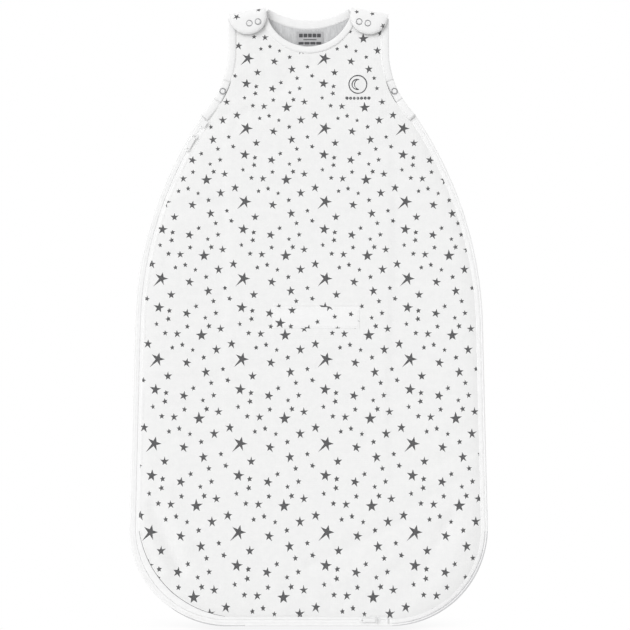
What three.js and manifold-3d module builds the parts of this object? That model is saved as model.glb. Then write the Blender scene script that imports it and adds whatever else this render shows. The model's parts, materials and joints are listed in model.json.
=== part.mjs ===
// Baby sleeping bag, closed and lying flat: two-layer front and back panels, snap shoulder tabs,
// a two-way zip down one side and along the bottom, and a harness slot under a cover flap.
// Millimetres. +Z points to the neck, the front faces -Y, and the outer face of the back panel
// lies on y = 0. The origin is on that face, on the centre line at mid height.
// Left and right are as seen from the front, so left is -X.

import * as THREE from "three";
import { mergeVertices } from "three/addons/utils/BufferGeometryUtils.js";
import Module from "manifold-3d";

const wasm = await Module();
wasm.setup();

const rad = THREE.MathUtils.degToRad;

// ---------------------------------------------------------------- driving dimensions

// Outline of the closed bag, right half.
const SHOULDER = { x: 87, z: 434, slope: rad(10.5), half: 27 };
const ARMHOLE = { x: 114, top: 420, bandTop: 417, straightEnd: 380, radius: 130, turn: rad(45) };
const HIP = { x: 248, z: -10, lean: rad(1.4) };
const HEM = { z: -438.5, cornerRadius: 140 };

// Neck openings: round edges, each with its centre height, radius and band, and the half widths
// at which the free edge of the band and its sewn edge end under the shoulder straps.
const FRONT_NECK = { z: 447, radius: 62, band: 9.6, freeHalf: 59.6, sewnHalf: 69.6 };
const BACK_NECK = { z: 527.7, radius: 104.7, band: 12.8, freeHalf: 57, sewnHalf: 57 };

// Widths of the edge trims, measured inwards from the outline. The panels start below the underarm
// by PANEL_START, an angle on the side arc.
const PIPING_WIDTH = 4;
const ARMHOLE_BAND = 11.6;
const SEAM_BAND_EDGE = 10;
const PANEL_START = 0.02;
const ZIP = { centre: 9.2, slit: 1.6, tape: 4.1, coilGap: 1.4, coil: 2.3 };
const CLEAR = 0.35;

// Depth layers, each [back face, front face].
const LAYER = {
  backShell: [0, -1.6],
  backLining: [-2, -3.4],
  label: [-3.8, -4.3],
  backBand: [-1.4, -3.2],
  backWelt: [-0.3, -3.2],
  piping: [-4, -9],
  coil: [-5.5, -7.1],
  tape: [-7.5, -8.3],
  seamBand: [-7.5, -9],
  frontLining: [-9.4, -10.8],
  frontShell: [-11.2, -12.8],
  frontBand: [-9.6, -12.6],
  strip: [-7.1, -8.5],
  stop: [-8.7, -9.9],
  garage: [-13.2, -14.2],
  motif: [-13.1, -13.8],
  beltFlap: [-13.2, -14.8],
  tabLining: [-17.2, -18.4],
  tabShell: [-18.8, -20.2],
};

// The front panel hinges along a fold line from the left side to the hem. Its zip is cut where the
// fold crosses it: the fixed runs end and the loose run starts at these distances from the line.
const FOLD = { left: { x: -247, z: -50 }, hem: { x: 60, z: -440 }, gap: 0.35 };
const ZIP_CUT = { fixed: 8, loose: 30 };

// Places along the zip: angles on the side arc, and x on the hem.
const ZIP_END_X = 115;
const UPPER_SLIDER_ANGLE = rad(31);
const LOWER_SLIDER_X = 96;
const TOP_STOP = { angle: rad(32.6), width: 4, length: 1.6 };
const END_STOP = { x: 112, width: 5, length: 2 };
const GARAGE = { angle: rad(33.4), width: 10, length: 9 };

const SLIDER = {
  width: 8.4,
  length: 11,
  backPlate: [-4.3, -5.1],
  frontPlate: [-8.75, -9.65],
  post: { width: 0.8, length: 3.7, z: 2.75, layer: [-4.6, -9.2] },
  lug: { width: 0.9, length: 3, clear: 0.8, layer: [-9.25, -12.35] },
  pin: { radius: 0.6, depth: -11.6 },
};
const PULL = { width: 5.6, length: 24, eye: 1.6, bore: 0.95, thickness: 1.2 };

// Harness slot and its cover flap.
const SLOT = { x: 11, width: 104, height: 20, welt: 4, frontZ: 0, backZ: -34 };
const BELT_FLAP = { width: 122, height: 30, hem: 5 };

// Ring snaps. A snap half is crimped through the fabric: a flange on each side and a tube between.
// A socket's layer runs from its back to its front; a stud's depths are its back, the front of its
// flange and the front of its nub.
const SNAP = { flange: 4.75, tube: 3.4, bore: 2.6, nub: 1.9, cap: 1.1, socket: 2, rim: 0.8 };
const SNAP_HOLE = 3.7;
const TAB_SNAP = { u: -6.2, apart: 12.4, w: -18, layer: [-14.9, -21.6] };
const SHOULDER_STUD = { back: -8.2, flange: -13.9, nub: -16.2 };
const UNDERARM = { turn: rad(25.5), reach: rad(6.5), inset: 5.2, layer: [-4.8, -10] };
const UNDERARM_STUD = { back: -0.2, flange: -4.4, nub: -5.7 };
const STRIP_MARGIN = 0.8;

// A shoulder strap rolls over the shoulder round an axis at this height, and its tongue is a half
// round whose centre is at this height. The fold is cut at the top by a small angle on each side.
const STRAP = { foldZ: -8.6, tongueZ: -6, overlap: 0.4, cut: 0.03 };

const LABEL = { x: 2, z: 397, width: 37, height: 20 };
const MOTIF = { x: 70, z: 331, radius: 14, innerRadius: 10.4, shift: 1.9 };

// ---------------------------------------------------------------- materials

function material(color, roughness, metalness = 0) {
  return new THREE.MeshStandardMaterial({ color, roughness, metalness });
}
const COTTON = material(0xf1f1f0, 0.9);
const TRIM = material(0xf6f6f6, 0.85);
const MERINO = material(0xbfc0c2, 0.95);
const TAPE = material(0xf4f4f4, 0.8);
const COIL = material(0xf0f0f0, 0.45);
const METAL = material(0xd4d5d6, 0.3, 0.9);
const THREAD = material(0x55565a, 0.8);
const LABEL_CLOTH = material(0x4a4b4e, 0.7);

// ---------------------------------------------------------------- outline

// Edge points carry the outward normal, so that any trim is the same edge moved inwards.
// A hollow arc has its centre outside the bag.
function arcEdge(x, z, radius, from, to, steps, hollow = false) {
  const side = hollow ? -1 : 1;
  return Array.from({ length: steps + 1 }, (_, i) => {
    const a = from + ((to - from) * i) / steps;
    const nx = Math.cos(a);
    const nz = Math.sin(a);
    return { x: x + radius * nx, z: z + radius * nz, nx: side * nx, nz: side * nz };
  });
}

const mirrored = (edge) => edge.map((p) => ({ ...p, x: -p.x, nx: -p.nx }));
const inset = (p, d) => new THREE.Vector2(p.x - p.nx * d, p.z - p.nz * d);

// The armhole runs straight down from the shoulder, then turns outwards to the underarm.
const armholeArc = (from, to, steps) =>
  arcEdge(
    ARMHOLE.x + ARMHOLE.radius,
    ARMHOLE.straightEnd,
    ARMHOLE.radius,
    Math.PI + from,
    Math.PI + to,
    steps,
    true,
  );
const ARMHOLE_TOP = { x: ARMHOLE.x, z: ARMHOLE.top, nx: 1, nz: 0 };
const ARMHOLE_EDGE = [ARMHOLE_TOP, ...armholeArc(0, ARMHOLE.turn, 7)];

// The side is one arc from the underarm that meets the leaning side seam smoothly at the hip.
function sideArc() {
  const underarm = ARMHOLE_EDGE.at(-1);
  const nx = Math.cos(HIP.lean);
  const nz = Math.sin(HIP.lean);
  const dx = underarm.x - HIP.x;
  const dz = underarm.z - HIP.z;
  const radius = -(dx * dx + dz * dz) / (2 * (dx * nx + dz * nz));
  const x = HIP.x - radius * nx;
  const z = HIP.z - radius * nz;
  return { x, z, radius, start: Math.atan2(underarm.z - z, underarm.x - x) };
}
const SIDE = sideArc();

// A point of the leaning side seam at a given height.
function seamPoint(z) {
  const run = (HIP.z - z) * Math.tan(HIP.lean);
  return { x: HIP.x + run, z, nx: Math.cos(HIP.lean), nz: Math.sin(HIP.lean) };
}

function cornerEdge() {
  const z = HEM.z + HEM.cornerRadius;
  const x = seamPoint(z).x - HEM.cornerRadius / Math.cos(HIP.lean);
  return arcEdge(x, z, HEM.cornerRadius, HIP.lean, -Math.PI / 2, 9);
}

// The trims start at the underarm; the panels start a little below it, clear of the armhole bands.
const sideEdge = (start) => arcEdge(SIDE.x, SIDE.z, SIDE.radius, start, HIP.lean, 11);
const SIDE_EDGE = sideEdge(SIDE.start);
const RIGHT_EDGE = [...SIDE_EDGE, ...cornerEdge()];
const LEFT_EDGE = mirrored(RIGHT_EDGE);
const PANEL_EDGE = [...sideEdge(SIDE.start - PANEL_START), ...cornerEdge()];
const hemPoint = (x) => ({ x, z: HEM.z, nx: 0, nz: -1 });

// ---------------------------------------------------------------- shapes

// Band between two insets of one edge.
function bandShape(edge, outer, inner) {
  return new THREE.Shape([
    ...edge.map((p) => inset(p, outer)),
    ...edge.map((p) => inset(p, inner)).reverse(),
  ]);
}

function rectangle(x, z, width, height) {
  return [
    new THREE.Vector2(x - width / 2, z - height / 2),
    new THREE.Vector2(x + width / 2, z - height / 2),
    new THREE.Vector2(x + width / 2, z + height / 2),
    new THREE.Vector2(x - width / 2, z + height / 2),
  ];
}

const circle = (x, z, radius, steps = 12) =>
  new THREE.EllipseCurve(x, z, radius, radius, 0, 2 * Math.PI).getPoints(steps).slice(0, -1);

// Lower part of a neck circle, from left to right, as wide as twice the half width.
function neckArc(neck, radius, halfWidth) {
  const span = Math.asin(halfWidth / radius);
  const low = -Math.PI / 2;
  return new THREE.EllipseCurve(0, neck.z, radius, radius, low - span, low + span).getPoints(16);
}

function neckBandShape(neck) {
  return new THREE.Shape([
    ...neckArc(neck, neck.radius, neck.freeHalf),
    ...neckArc(neck, neck.radius + neck.band, neck.sewnHalf).reverse(),
  ]);
}

// Outline of a panel: neck, shoulders and armholes, closed by the given left and right edges.
function panelPoints(neck, leftEdge, leftInset, rightInset) {
  const armhole = ARMHOLE_EDGE.map((p) => inset(p, ARMHOLE_BAND + CLEAR));
  const armholeLeft = armhole.map((p) => new THREE.Vector2(-p.x, p.y));
  return [
    ...neckArc(neck, neck.radius + neck.band + CLEAR, neck.sewnHalf),
    ...armhole,
    ...PANEL_EDGE.map((p) => inset(p, rightInset)),
    ...leftEdge.map((p) => inset(p, leftInset)).reverse(),
    ...armholeLeft.reverse(),
  ];
}

// Part of a polygon on the side of a line that the normal points to.
function clipped(points, onLine, normal, offset) {
  const height = (p) => (p.x - onLine.x) * normal.x + (p.y - onLine.z) * normal.z - offset;
  return points.flatMap((p, i) => {
    const q = points[(i + 1) % points.length];
    const a = height(p);
    const b = height(q);
    const kept = a >= 0 ? [p] : [];
    return a * b < 0 ? [...kept, p.clone().lerp(q, a / (a - b))] : kept;
  });
}

function withHoles(points, holes) {
  const shape = new THREE.Shape(points);
  shape.holes = holes.map((hole) => new THREE.Path(hole));
  return shape;
}

// ---------------------------------------------------------------- solids

// Flat piece in the panel plane, between two depths.
function plate(name, shape, [back, front], look) {
  const geometry = new THREE.ExtrudeGeometry(shape, { depth: back - front, bevelEnabled: false });
  const mesh = new THREE.Mesh(geometry, look);
  mesh.name = name;
  mesh.rotation.x = Math.PI / 2;
  mesh.position.y = back;
  return mesh;
}

function toSolid(geometry) {
  const bare = geometry.clone();
  bare.deleteAttribute("normal");
  bare.deleteAttribute("uv");
  const merged = mergeVertices(bare);
  return new wasm.Manifold(
    new wasm.Mesh({
      numProp: 3,
      vertProperties: merged.getAttribute("position").array,
      triVerts: new Uint32Array(merged.index.array),
    }),
  );
}

// One geometry from overlapping ones.
function joined(geometries) {
  const mesh = geometries.map(toSolid).reduce((a, b) => a.add(b)).getMesh();
  return new THREE.BufferGeometry()
    .setAttribute("position", new THREE.BufferAttribute(mesh.vertProperties, 3))
    .setIndex(new THREE.BufferAttribute(mesh.triVerts, 1));
}

function named(name, geometry, look) {
  const mesh = new THREE.Mesh(geometry, look);
  mesh.name = name;
  return mesh;
}

// Block centred at x and z, between two depths.
const box = (x, z, width, length, [back, front]) =>
  new THREE.BoxGeometry(width, back - front, length).translate(x, (back + front) / 2, z);

// Turned piece on the Y axis: the profile's points are [radius, depth].
function turned(profile) {
  const points = profile.map(([r, y]) => new THREE.Vector2(r, y));
  return new THREE.LatheGeometry(points, 18);
}

// Socket half: open ring cap in front, socket behind, crimped tube between.
function socketSnap(name, [back, front]) {
  const { bore, flange, tube, cap, socket } = SNAP;
  const geometry = turned([
    [bore, front],
    [flange, front],
    [flange, front + cap],
    [tube, front + cap],
    [tube, back - socket],
    [flange, back - socket],
    [flange, back],
    [bore, back],
    [bore, front],
  ]);
  return named(name, geometry, METAL);
}

// Stud half: nub in front of its flange, tube through the fabric, ring flange behind.
function studSnap(name, depth) {
  const { nub, flange, tube, rim } = SNAP;
  const geometry = turned([
    [0, depth.nub],
    [nub, depth.nub],
    [nub, depth.flange],
    [flange, depth.flange],
    [flange, depth.flange + rim],
    [tube, depth.flange + rim],
    [tube, depth.back - rim],
    [flange, depth.back - rim],
    [flange, depth.back],
    [0, depth.back],
  ]);
  return named(name, geometry, METAL);
}

// ---------------------------------------------------------------- panels

const foldNormal = (() => {
  const dx = FOLD.hem.x - FOLD.left.x;
  const dz = FOLD.hem.z - FOLD.left.z;
  const length = Math.hypot(dx, dz);
  return { x: -dz / length, z: dx / length };
})();
const againstFold = { x: -foldNormal.x, z: -foldNormal.z };

// Places of the shoulder studs, on one side, in the plane of the panels.
function studPoints(side) {
  const { x, z, slope } = SHOULDER;
  return [-0.5, 0.5].map((k) => {
    const u = TAB_SNAP.u + k * TAB_SNAP.apart;
    return {
      x: side * (x + u * Math.cos(slope) + TAB_SNAP.w * Math.sin(slope)),
      z: z - u * Math.sin(slope) + TAB_SNAP.w * Math.cos(slope),
    };
  });
}

const STUDS = [...studPoints(-1), ...studPoints(1)];
const studHoles = () => STUDS.map((p) => circle(p.x, p.z, SNAP_HOLE));
const slotHole = (z) => rectangle(SLOT.x, z, SLOT.width, SLOT.height);

function backPanels() {
  const points = panelPoints(BACK_NECK, mirrored(PANEL_EDGE), 0, 0);
  const shape = withHoles(points, [slotHole(SLOT.backZ)]);
  return [
    plate("back_shell", shape, LAYER.backShell, COTTON),
    plate("back_lining", shape, LAYER.backLining, MERINO),
  ];
}

// The lower left of the front panel is loose up to the fold line once its zip is open.
function frontPanels() {
  const zipEdge = ZIP.centre + ZIP.slit / 2 + ZIP.tape + CLEAR;
  const leftEdge = [...mirrored(PANEL_EDGE), hemPoint(ZIP_END_X)];
  const points = panelPoints(FRONT_NECK, leftEdge, zipEdge, SEAM_BAND_EDGE + CLEAR);
  const upper = clipped(points, FOLD.hem, foldNormal, FOLD.gap);
  const lower = clipped(points, FOLD.hem, againstFold, FOLD.gap);
  const upperShape = withHoles(upper, [slotHole(SLOT.frontZ), ...studHoles()]);
  const lowerShape = new THREE.Shape(lower);
  return [
    plate("front_shell", upperShape, LAYER.frontShell, COTTON),
    plate("front_lining", upperShape, LAYER.frontLining, MERINO),
    plate("front_flap_shell", lowerShape, LAYER.frontShell, COTTON),
    plate("front_flap_lining", lowerShape, LAYER.frontLining, MERINO),
  ];
}

// ---------------------------------------------------------------- edge trims

function neckBands() {
  return [
    plate("neck_binding_front", neckBandShape(FRONT_NECK), LAYER.frontBand, TRIM),
    plate("neck_binding_back", neckBandShape(BACK_NECK), LAYER.backBand, TRIM),
  ];
}

// The front band of an armhole is in two lengths, above and below the snap strip.
function armholeBands(side, word) {
  const turn = side < 0 ? mirrored : (edge) => edge;
  const from = UNDERARM.turn - UNDERARM.reach;
  const to = UNDERARM.turn + UNDERARM.reach;
  const gap = CLEAR / ARMHOLE.radius;
  const top = { ...ARMHOLE_TOP, z: ARMHOLE.bandTop };
  const whole = turn([top, ...armholeArc(0, ARMHOLE.turn, 7)]);
  const upper = turn([top, ...armholeArc(0, from - gap, 4)]);
  const lower = turn(armholeArc(to + gap, ARMHOLE.turn, 2));
  const band = (edge) => bandShape(edge, 0, ARMHOLE_BAND);
  const snap = turn(armholeArc(UNDERARM.turn, UNDERARM.turn, 1))[0];
  const centre = inset(snap, UNDERARM.inset);
  const backShape = withHoles(band(whole).getPoints(), [circle(centre.x, centre.y, SNAP_HOLE)]);
  return [
    plate(`armhole_binding_back_${word}`, backShape, LAYER.backBand, TRIM),
    plate(`armhole_binding_front_${word}`, band(upper), LAYER.frontBand, TRIM),
    plate(`armhole_binding_lower_${word}`, band(lower), LAYER.frontBand, TRIM),
  ];
}

function sideTrims() {
  const around = [...LEFT_EDGE, ...RIGHT_EDGE.slice().reverse()];
  const seam = bandShape(RIGHT_EDGE, PIPING_WIDTH + CLEAR, SEAM_BAND_EDGE);
  return [
    plate("edge_piping", bandShape(around, 0, PIPING_WIDTH), LAYER.piping, TRIM),
    plate("side_seam_band", seam, LAYER.seamBand, TRIM),
  ];
}

// ---------------------------------------------------------------- zip

// Tape and coil of one run: side -1 is the half sewn to the back, +1 the half on the front.
function zipHalf(edge, side, tapeName, coilName) {
  const tapeNear = ZIP.centre + (side * ZIP.slit) / 2;
  const coilNear = ZIP.centre + (side * ZIP.coilGap) / 2;
  const tape = [tapeNear, tapeNear + side * ZIP.tape].sort((a, b) => a - b);
  const coil = [coilNear, coilNear + side * ZIP.coil].sort((a, b) => a - b);
  return [
    plate(tapeName, bandShape(edge, ...tape), LAYER.tape, TAPE),
    plate(coilName, bandShape(edge, ...coil), LAYER.coil, COIL),
  ];
}

function zipRuns() {
  const side = mirrored(SIDE_EDGE);
  const corner = mirrored(cornerEdge());
  const seam = (z) => mirrored([seamPoint(z)])[0];
  const whole = [...side, ...corner, hemPoint(ZIP_END_X)];
  const upper = [...side, seam(FOLD.left.z + ZIP_CUT.fixed)];
  const lower = [seam(FOLD.left.z - ZIP_CUT.loose), ...corner, hemPoint(FOLD.hem.x - ZIP_CUT.loose)];
  const end = [hemPoint(FOLD.hem.x + ZIP_CUT.fixed), hemPoint(ZIP_END_X)];
  return [
    ...zipHalf(whole, -1, "zip_tape_back", "zip_coil_back"),
    ...zipHalf(upper, 1, "zip_tape_front_upper", "zip_coil_front_upper"),
    ...zipHalf(lower, 1, "zip_tape_front_lower", "zip_coil_front_lower"),
    ...zipHalf(end, 1, "zip_tape_front_end", "zip_coil_front_end"),
  ];
}

// Place on the side arc of the zip, as a group whose Z runs up the zip and X points inwards.
function onSideZip(angle) {
  const reach = SIDE.radius - ZIP.centre;
  const place = new THREE.Group();
  place.position.set(-SIDE.x - reach * Math.cos(angle), 0, SIDE.z + reach * Math.sin(angle));
  place.rotation.y = angle;
  return place;
}

// Place on the hem run of the zip; Z runs to the right along it.
function onHemZip(x) {
  const place = new THREE.Group();
  place.position.set(x, 0, HEM.z + ZIP.centre);
  place.rotation.y = Math.PI / 2;
  return place;
}

// Two plates on the zip joined by a thin post in the slit, with a cross pin for the pull.
function sliderGeometry() {
  const { width, length, post, lug } = SLIDER;
  const backPlate = box(0, 0, width, length, SLIDER.backPlate);
  const frontPlate = box(0, 0, width, length, SLIDER.frontPlate);
  const web = box(0, post.z, post.width, post.length, post.layer);
  const lugX = PULL.width / 2 + lug.clear;
  const lugs = [-1, 1].map((k) => box(k * lugX, 0, lug.width, lug.length, lug.layer));
  const pin = new THREE.CylinderGeometry(SLIDER.pin.radius, SLIDER.pin.radius, 2 * lugX, 12);
  pin.rotateZ(Math.PI / 2).translate(0, SLIDER.pin.depth, 0);
  return joined([backPlate, frontPlate, web, ...lugs, pin]);
}

// Pull tab: side profile with a bored eye, extruded across its width.
function pullGeometry() {
  const { width, length, eye, bore, thickness } = PULL;
  const start = Math.asin(thickness / 2 / eye);
  const profile = new THREE.Shape(
    new THREE.EllipseCurve(0, 0, eye, eye, start, 2 * Math.PI - start).getPoints(14),
  );
  profile.lineTo(length, -thickness / 2);
  profile.lineTo(length, thickness / 2);
  profile.holes = [new THREE.Path(circle(0, 0, bore))];
  const geometry = new THREE.ExtrudeGeometry(profile, { depth: width, bevelEnabled: false });
  return geometry.translate(0, 0, -width / 2).rotateY(Math.PI / 2);
}

function sliderAndPull(place, word) {
  const pull = named(`zip_pull_${word}`, pullGeometry(), METAL);
  pull.position.y = SLIDER.pin.depth;
  place.add(named(`zip_slider_${word}`, sliderGeometry(), METAL), pull);
  return place;
}

function zipFittings() {
  const block = ({ width, length }, layer) => box(0, 0, width, length, layer);
  const top = onSideZip(TOP_STOP.angle);
  top.add(named("zip_top_stop", block(TOP_STOP, LAYER.stop), METAL));
  const garage = onSideZip(GARAGE.angle);
  garage.add(named("zip_garage", block(GARAGE, LAYER.garage), TRIM));
  const end = onHemZip(END_STOP.x);
  end.add(named("zip_end_stop", block(END_STOP, LAYER.stop), METAL));
  return [
    sliderAndPull(onSideZip(UPPER_SLIDER_ANGLE), "upper"),
    sliderAndPull(onHemZip(LOWER_SLIDER_X), "lower"),
    top,
    garage,
    end,
  ];
}

// ---------------------------------------------------------------- shoulders

const STRAP_CENTRE = { y: LAYER.tabShell[1] / 2, z: STRAP.foldZ };
const STRAP_RADIUS = -LAYER.tabShell[1] / 2;

// Quarter of a rolled-over strap, extruded along the shoulder. Angle 0 points to the back.
function strapQuarter(outer, inner, from, to, halfWidth) {
  const arc = (radius, a, b) =>
    new THREE.EllipseCurve(0, 0, radius, radius, a, b, b < a).getPoints(6);
  const sector = new THREE.Shape([...arc(outer, from, to), ...arc(inner, to, from)]);
  const geometry = new THREE.ExtrudeGeometry(sector, {
    depth: 2 * halfWidth,
    bevelEnabled: false,
  });
  geometry.translate(0, 0, -halfWidth).rotateY(Math.PI / 2).rotateX(Math.PI / 2);
  return geometry.translate(0, STRAP_CENTRE.y, STRAP_CENTRE.z);
}

// Tongue of the tab, from the fold down to its round end.
function tongueShape(side) {
  const radius = SHOULDER.half;
  const dip = Math.asin((STRAP.tongueZ - STRAP.foldZ - STRAP.overlap) / radius);
  const [from, to] = [Math.PI + dip, 2 * Math.PI - dip];
  const tongue = new THREE.EllipseCurve(0, STRAP.tongueZ, radius, radius, from, to);
  const holes = [-0.5, 0.5].map((k) => {
    const u = TAB_SNAP.u + k * TAB_SNAP.apart;
    return circle(side * u, TAB_SNAP.w, SNAP_HOLE);
  });
  return withHoles(tongue.getPoints(18), holes);
}

function tabLayer(name, side, [back, front], look) {
  const outer = STRAP_CENTRE.y - front;
  const inner = STRAP_CENTRE.y - back;
  const top = Math.PI / 2 + STRAP.cut;
  const fold = strapQuarter(outer, inner, top, Math.PI, SHOULDER.half);
  const tongue = new THREE.ExtrudeGeometry(tongueShape(side), {
    depth: back - front,
    bevelEnabled: false,
  });
  tongue.rotateX(Math.PI / 2).translate(0, back, 0);
  return named(name, joined([fold, tongue]), look);
}

function shoulder(side, word) {
  const place = new THREE.Group();
  place.position.set(side * SHOULDER.x, 0, SHOULDER.z);
  place.rotation.y = side * SHOULDER.slope;
  const inner = STRAP_CENTRE.y - LAYER.tabLining[0];
  const top = Math.PI / 2 - STRAP.cut;
  const strap = strapQuarter(STRAP_RADIUS, inner, 0, top, SHOULDER.half);
  place.add(
    named(`shoulder_strap_${word}`, strap, COTTON),
    tabLayer(`tab_shell_${word}`, side, LAYER.tabShell, COTTON),
    tabLayer(`tab_lining_${word}`, side, LAYER.tabLining, MERINO),
  );
  ["inner", "outer"].forEach((which, i) => {
    const u = TAB_SNAP.u + (i - 0.5) * TAB_SNAP.apart;
    const snap = socketSnap(`tab_snap_${word}_${which}`, TAB_SNAP.layer);
    snap.position.set(side * u, 0, TAB_SNAP.w);
    place.add(snap);
  });
  return place;
}

function shoulderStuds() {
  const names = ["left_inner", "left_outer", "right_inner", "right_outer"];
  return STUDS.map((p, i) => {
    const stud = studSnap(`shoulder_stud_${names[i]}`, SHOULDER_STUD);
    stud.position.set(p.x, 0, p.z);
    return stud;
  });
}

// ---------------------------------------------------------------- underarm snaps

function underarmSnap(side, word) {
  const turn = side < 0 ? mirrored : (edge) => edge;
  const { turn: at, reach } = UNDERARM;
  const edge = turn(armholeArc(at - reach, at + reach, 4));
  const centre = inset(turn(armholeArc(at, at, 1))[0], UNDERARM.inset);
  const hole = circle(centre.x, centre.y, SNAP_HOLE);
  const stripBand = bandShape(edge, 0, ARMHOLE_BAND - STRIP_MARGIN);
  const stripShape = withHoles(stripBand.getPoints(), [hole]);
  const strip = plate(`underarm_strip_${word}`, stripShape, LAYER.strip, TRIM);
  const snap = socketSnap(`underarm_snap_${word}`, UNDERARM.layer);
  const stud = studSnap(`underarm_stud_${word}`, UNDERARM_STUD);
  snap.position.set(centre.x, 0, centre.y);
  stud.position.set(centre.x, 0, centre.y);
  return [strip, snap, stud];
}

// ---------------------------------------------------------------- harness slot, label, motif

function harnessSlot() {
  const frame = (z) =>
    withHoles(rectangle(SLOT.x, z, SLOT.width - 2 * CLEAR, SLOT.height - 2 * CLEAR), [
      rectangle(SLOT.x, z, SLOT.width - 2 * SLOT.welt, SLOT.height - 2 * SLOT.welt),
    ]);
  const flapTop = SLOT.frontZ + BELT_FLAP.height / 2;
  const flap = rectangle(SLOT.x, SLOT.frontZ, BELT_FLAP.width, BELT_FLAP.height);
  const hemZ = flapTop + 2 * CLEAR + BELT_FLAP.hem / 2;
  const hem = rectangle(SLOT.x, hemZ, BELT_FLAP.width, BELT_FLAP.hem);
  return [
    plate("belt_slot_welt_front", frame(SLOT.frontZ), LAYER.frontBand, TRIM),
    plate("belt_slot_welt_back", frame(SLOT.backZ), LAYER.backWelt, TRIM),
    plate("belt_flap", new THREE.Shape(flap), LAYER.beltFlap, COTTON),
    plate("belt_flap_hem", new THREE.Shape(hem), LAYER.beltFlap, COTTON),
  ];
}

function neckLabel() {
  const shape = new THREE.Shape(rectangle(LABEL.x, LABEL.z, LABEL.width, LABEL.height));
  return plate("neck_label", shape, LAYER.label, LABEL_CLOTH);
}

// Embroidered crescent ring: a disc with an off-centre round hole.
function chestMotif() {
  const { x, z, radius, innerRadius, shift } = MOTIF;
  const shape = withHoles(circle(x, z, radius, 28), [
    circle(x + shift, z + shift, innerRadius, 24),
  ]);
  return plate("chest_motif", shape, LAYER.motif, THREAD);
}

// ---------------------------------------------------------------- assembly

const bag = new THREE.Group();
bag.add(
  ...backPanels(),
  ...frontPanels(),
  ...neckBands(),
  ...armholeBands(-1, "left"),
  ...armholeBands(1, "right"),
  ...sideTrims(),
  ...zipRuns(),
  ...zipFittings(),
  shoulder(-1, "left"),
  shoulder(1, "right"),
  ...shoulderStuds(),
  ...underarmSnap(-1, "left"),
  ...underarmSnap(1, "right"),
  ...harnessSlot(),
  neckLabel(),
  chestMotif(),
);

export default bag;
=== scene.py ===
"""Looks for a baby sleeping bag: puffed star-print panels, wool lining, bindings, zip and snaps.

Metres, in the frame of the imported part: the front faces -Y and +Z points to the neck.
"""
import json
import math
import random

import bmesh
import bpy
import numpy as np
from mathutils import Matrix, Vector
from mathutils.bvhtree import BVHTree
from mathutils.geometry import delaunay_2d_cdt


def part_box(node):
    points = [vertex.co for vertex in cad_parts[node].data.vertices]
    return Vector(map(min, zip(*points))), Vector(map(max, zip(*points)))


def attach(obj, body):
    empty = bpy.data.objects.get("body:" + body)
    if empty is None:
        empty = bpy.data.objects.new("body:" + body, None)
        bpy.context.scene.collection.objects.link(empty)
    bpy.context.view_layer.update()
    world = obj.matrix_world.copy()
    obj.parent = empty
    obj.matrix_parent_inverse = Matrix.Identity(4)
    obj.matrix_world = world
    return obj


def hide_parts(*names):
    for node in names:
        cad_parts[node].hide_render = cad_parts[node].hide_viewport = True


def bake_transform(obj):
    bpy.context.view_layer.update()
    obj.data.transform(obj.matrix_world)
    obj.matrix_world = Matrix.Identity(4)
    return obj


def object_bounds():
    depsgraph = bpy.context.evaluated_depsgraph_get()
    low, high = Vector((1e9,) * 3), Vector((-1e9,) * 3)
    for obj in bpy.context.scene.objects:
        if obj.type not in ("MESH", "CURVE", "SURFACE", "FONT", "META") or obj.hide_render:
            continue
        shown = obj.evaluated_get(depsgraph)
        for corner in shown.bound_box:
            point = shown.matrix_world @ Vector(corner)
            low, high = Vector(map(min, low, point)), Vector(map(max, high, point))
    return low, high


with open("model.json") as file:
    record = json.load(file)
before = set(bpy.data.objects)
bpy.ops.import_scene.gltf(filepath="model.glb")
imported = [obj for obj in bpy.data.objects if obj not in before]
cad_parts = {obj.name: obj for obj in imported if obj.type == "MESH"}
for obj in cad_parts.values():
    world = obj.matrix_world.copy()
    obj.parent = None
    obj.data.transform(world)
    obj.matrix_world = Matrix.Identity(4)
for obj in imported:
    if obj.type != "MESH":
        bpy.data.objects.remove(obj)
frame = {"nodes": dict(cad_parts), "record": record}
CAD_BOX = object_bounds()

MM = 0.001
WHITE = (1, 1, 1, 1)
SHARP = math.radians(60)

# ------------------------------------------------------------ driving dimensions

# Outline arcs of the bag, right half, as (x, z) in metres.
ARMHOLE_X = 0.114
ARMHOLE_TOP = 0.424
ARMHOLE_STRAIGHT_END = 0.380
ARMHOLE_RADIUS = 0.130
ARMHOLE_TURN = math.radians(45)
STRIP_FROM = math.radians(19.0)
STRIP_TO = math.radians(32.0)
STRIP_NOTCH = 1.6 * MM
LINING_NOTCH = 3.0 * MM
STRIP_GAP = 0.8 * MM
HIP = (0.248, -0.010)
HIP_LEAN = math.radians(1.4)
HEM_Z = -0.4385
CORNER_RADIUS = 0.140
FRONT_NECK = dict(z=0.447, radius=0.062, band=9.6 * MM, free=59.6 * MM, sewn=69.6 * MM)
BACK_NECK = dict(z=0.5277, radius=0.1047, band=12.8 * MM, free=57 * MM, sewn=57 * MM)
SHOULDER = dict(x=0.087, z=0.434, slope=math.radians(10.5), half=0.027)

# Trim widths from the outline inwards.
PIPING = 4.4 * MM
ARMHOLE_BAND = 11.6 * MM
SEAM_BAND = 10.2 * MM
ZIP_CENTRE = 9.2 * MM
ZIP_PANEL_EDGE = 13.8 * MM
CORNER_RECESS = 6.5 * MM
LINING_PEEK = 1.7 * MM
TUCK = 1.5 * MM  # how far the panels run under their bindings
FAINT = 0.05  # corner weight below which nothing is made

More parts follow.
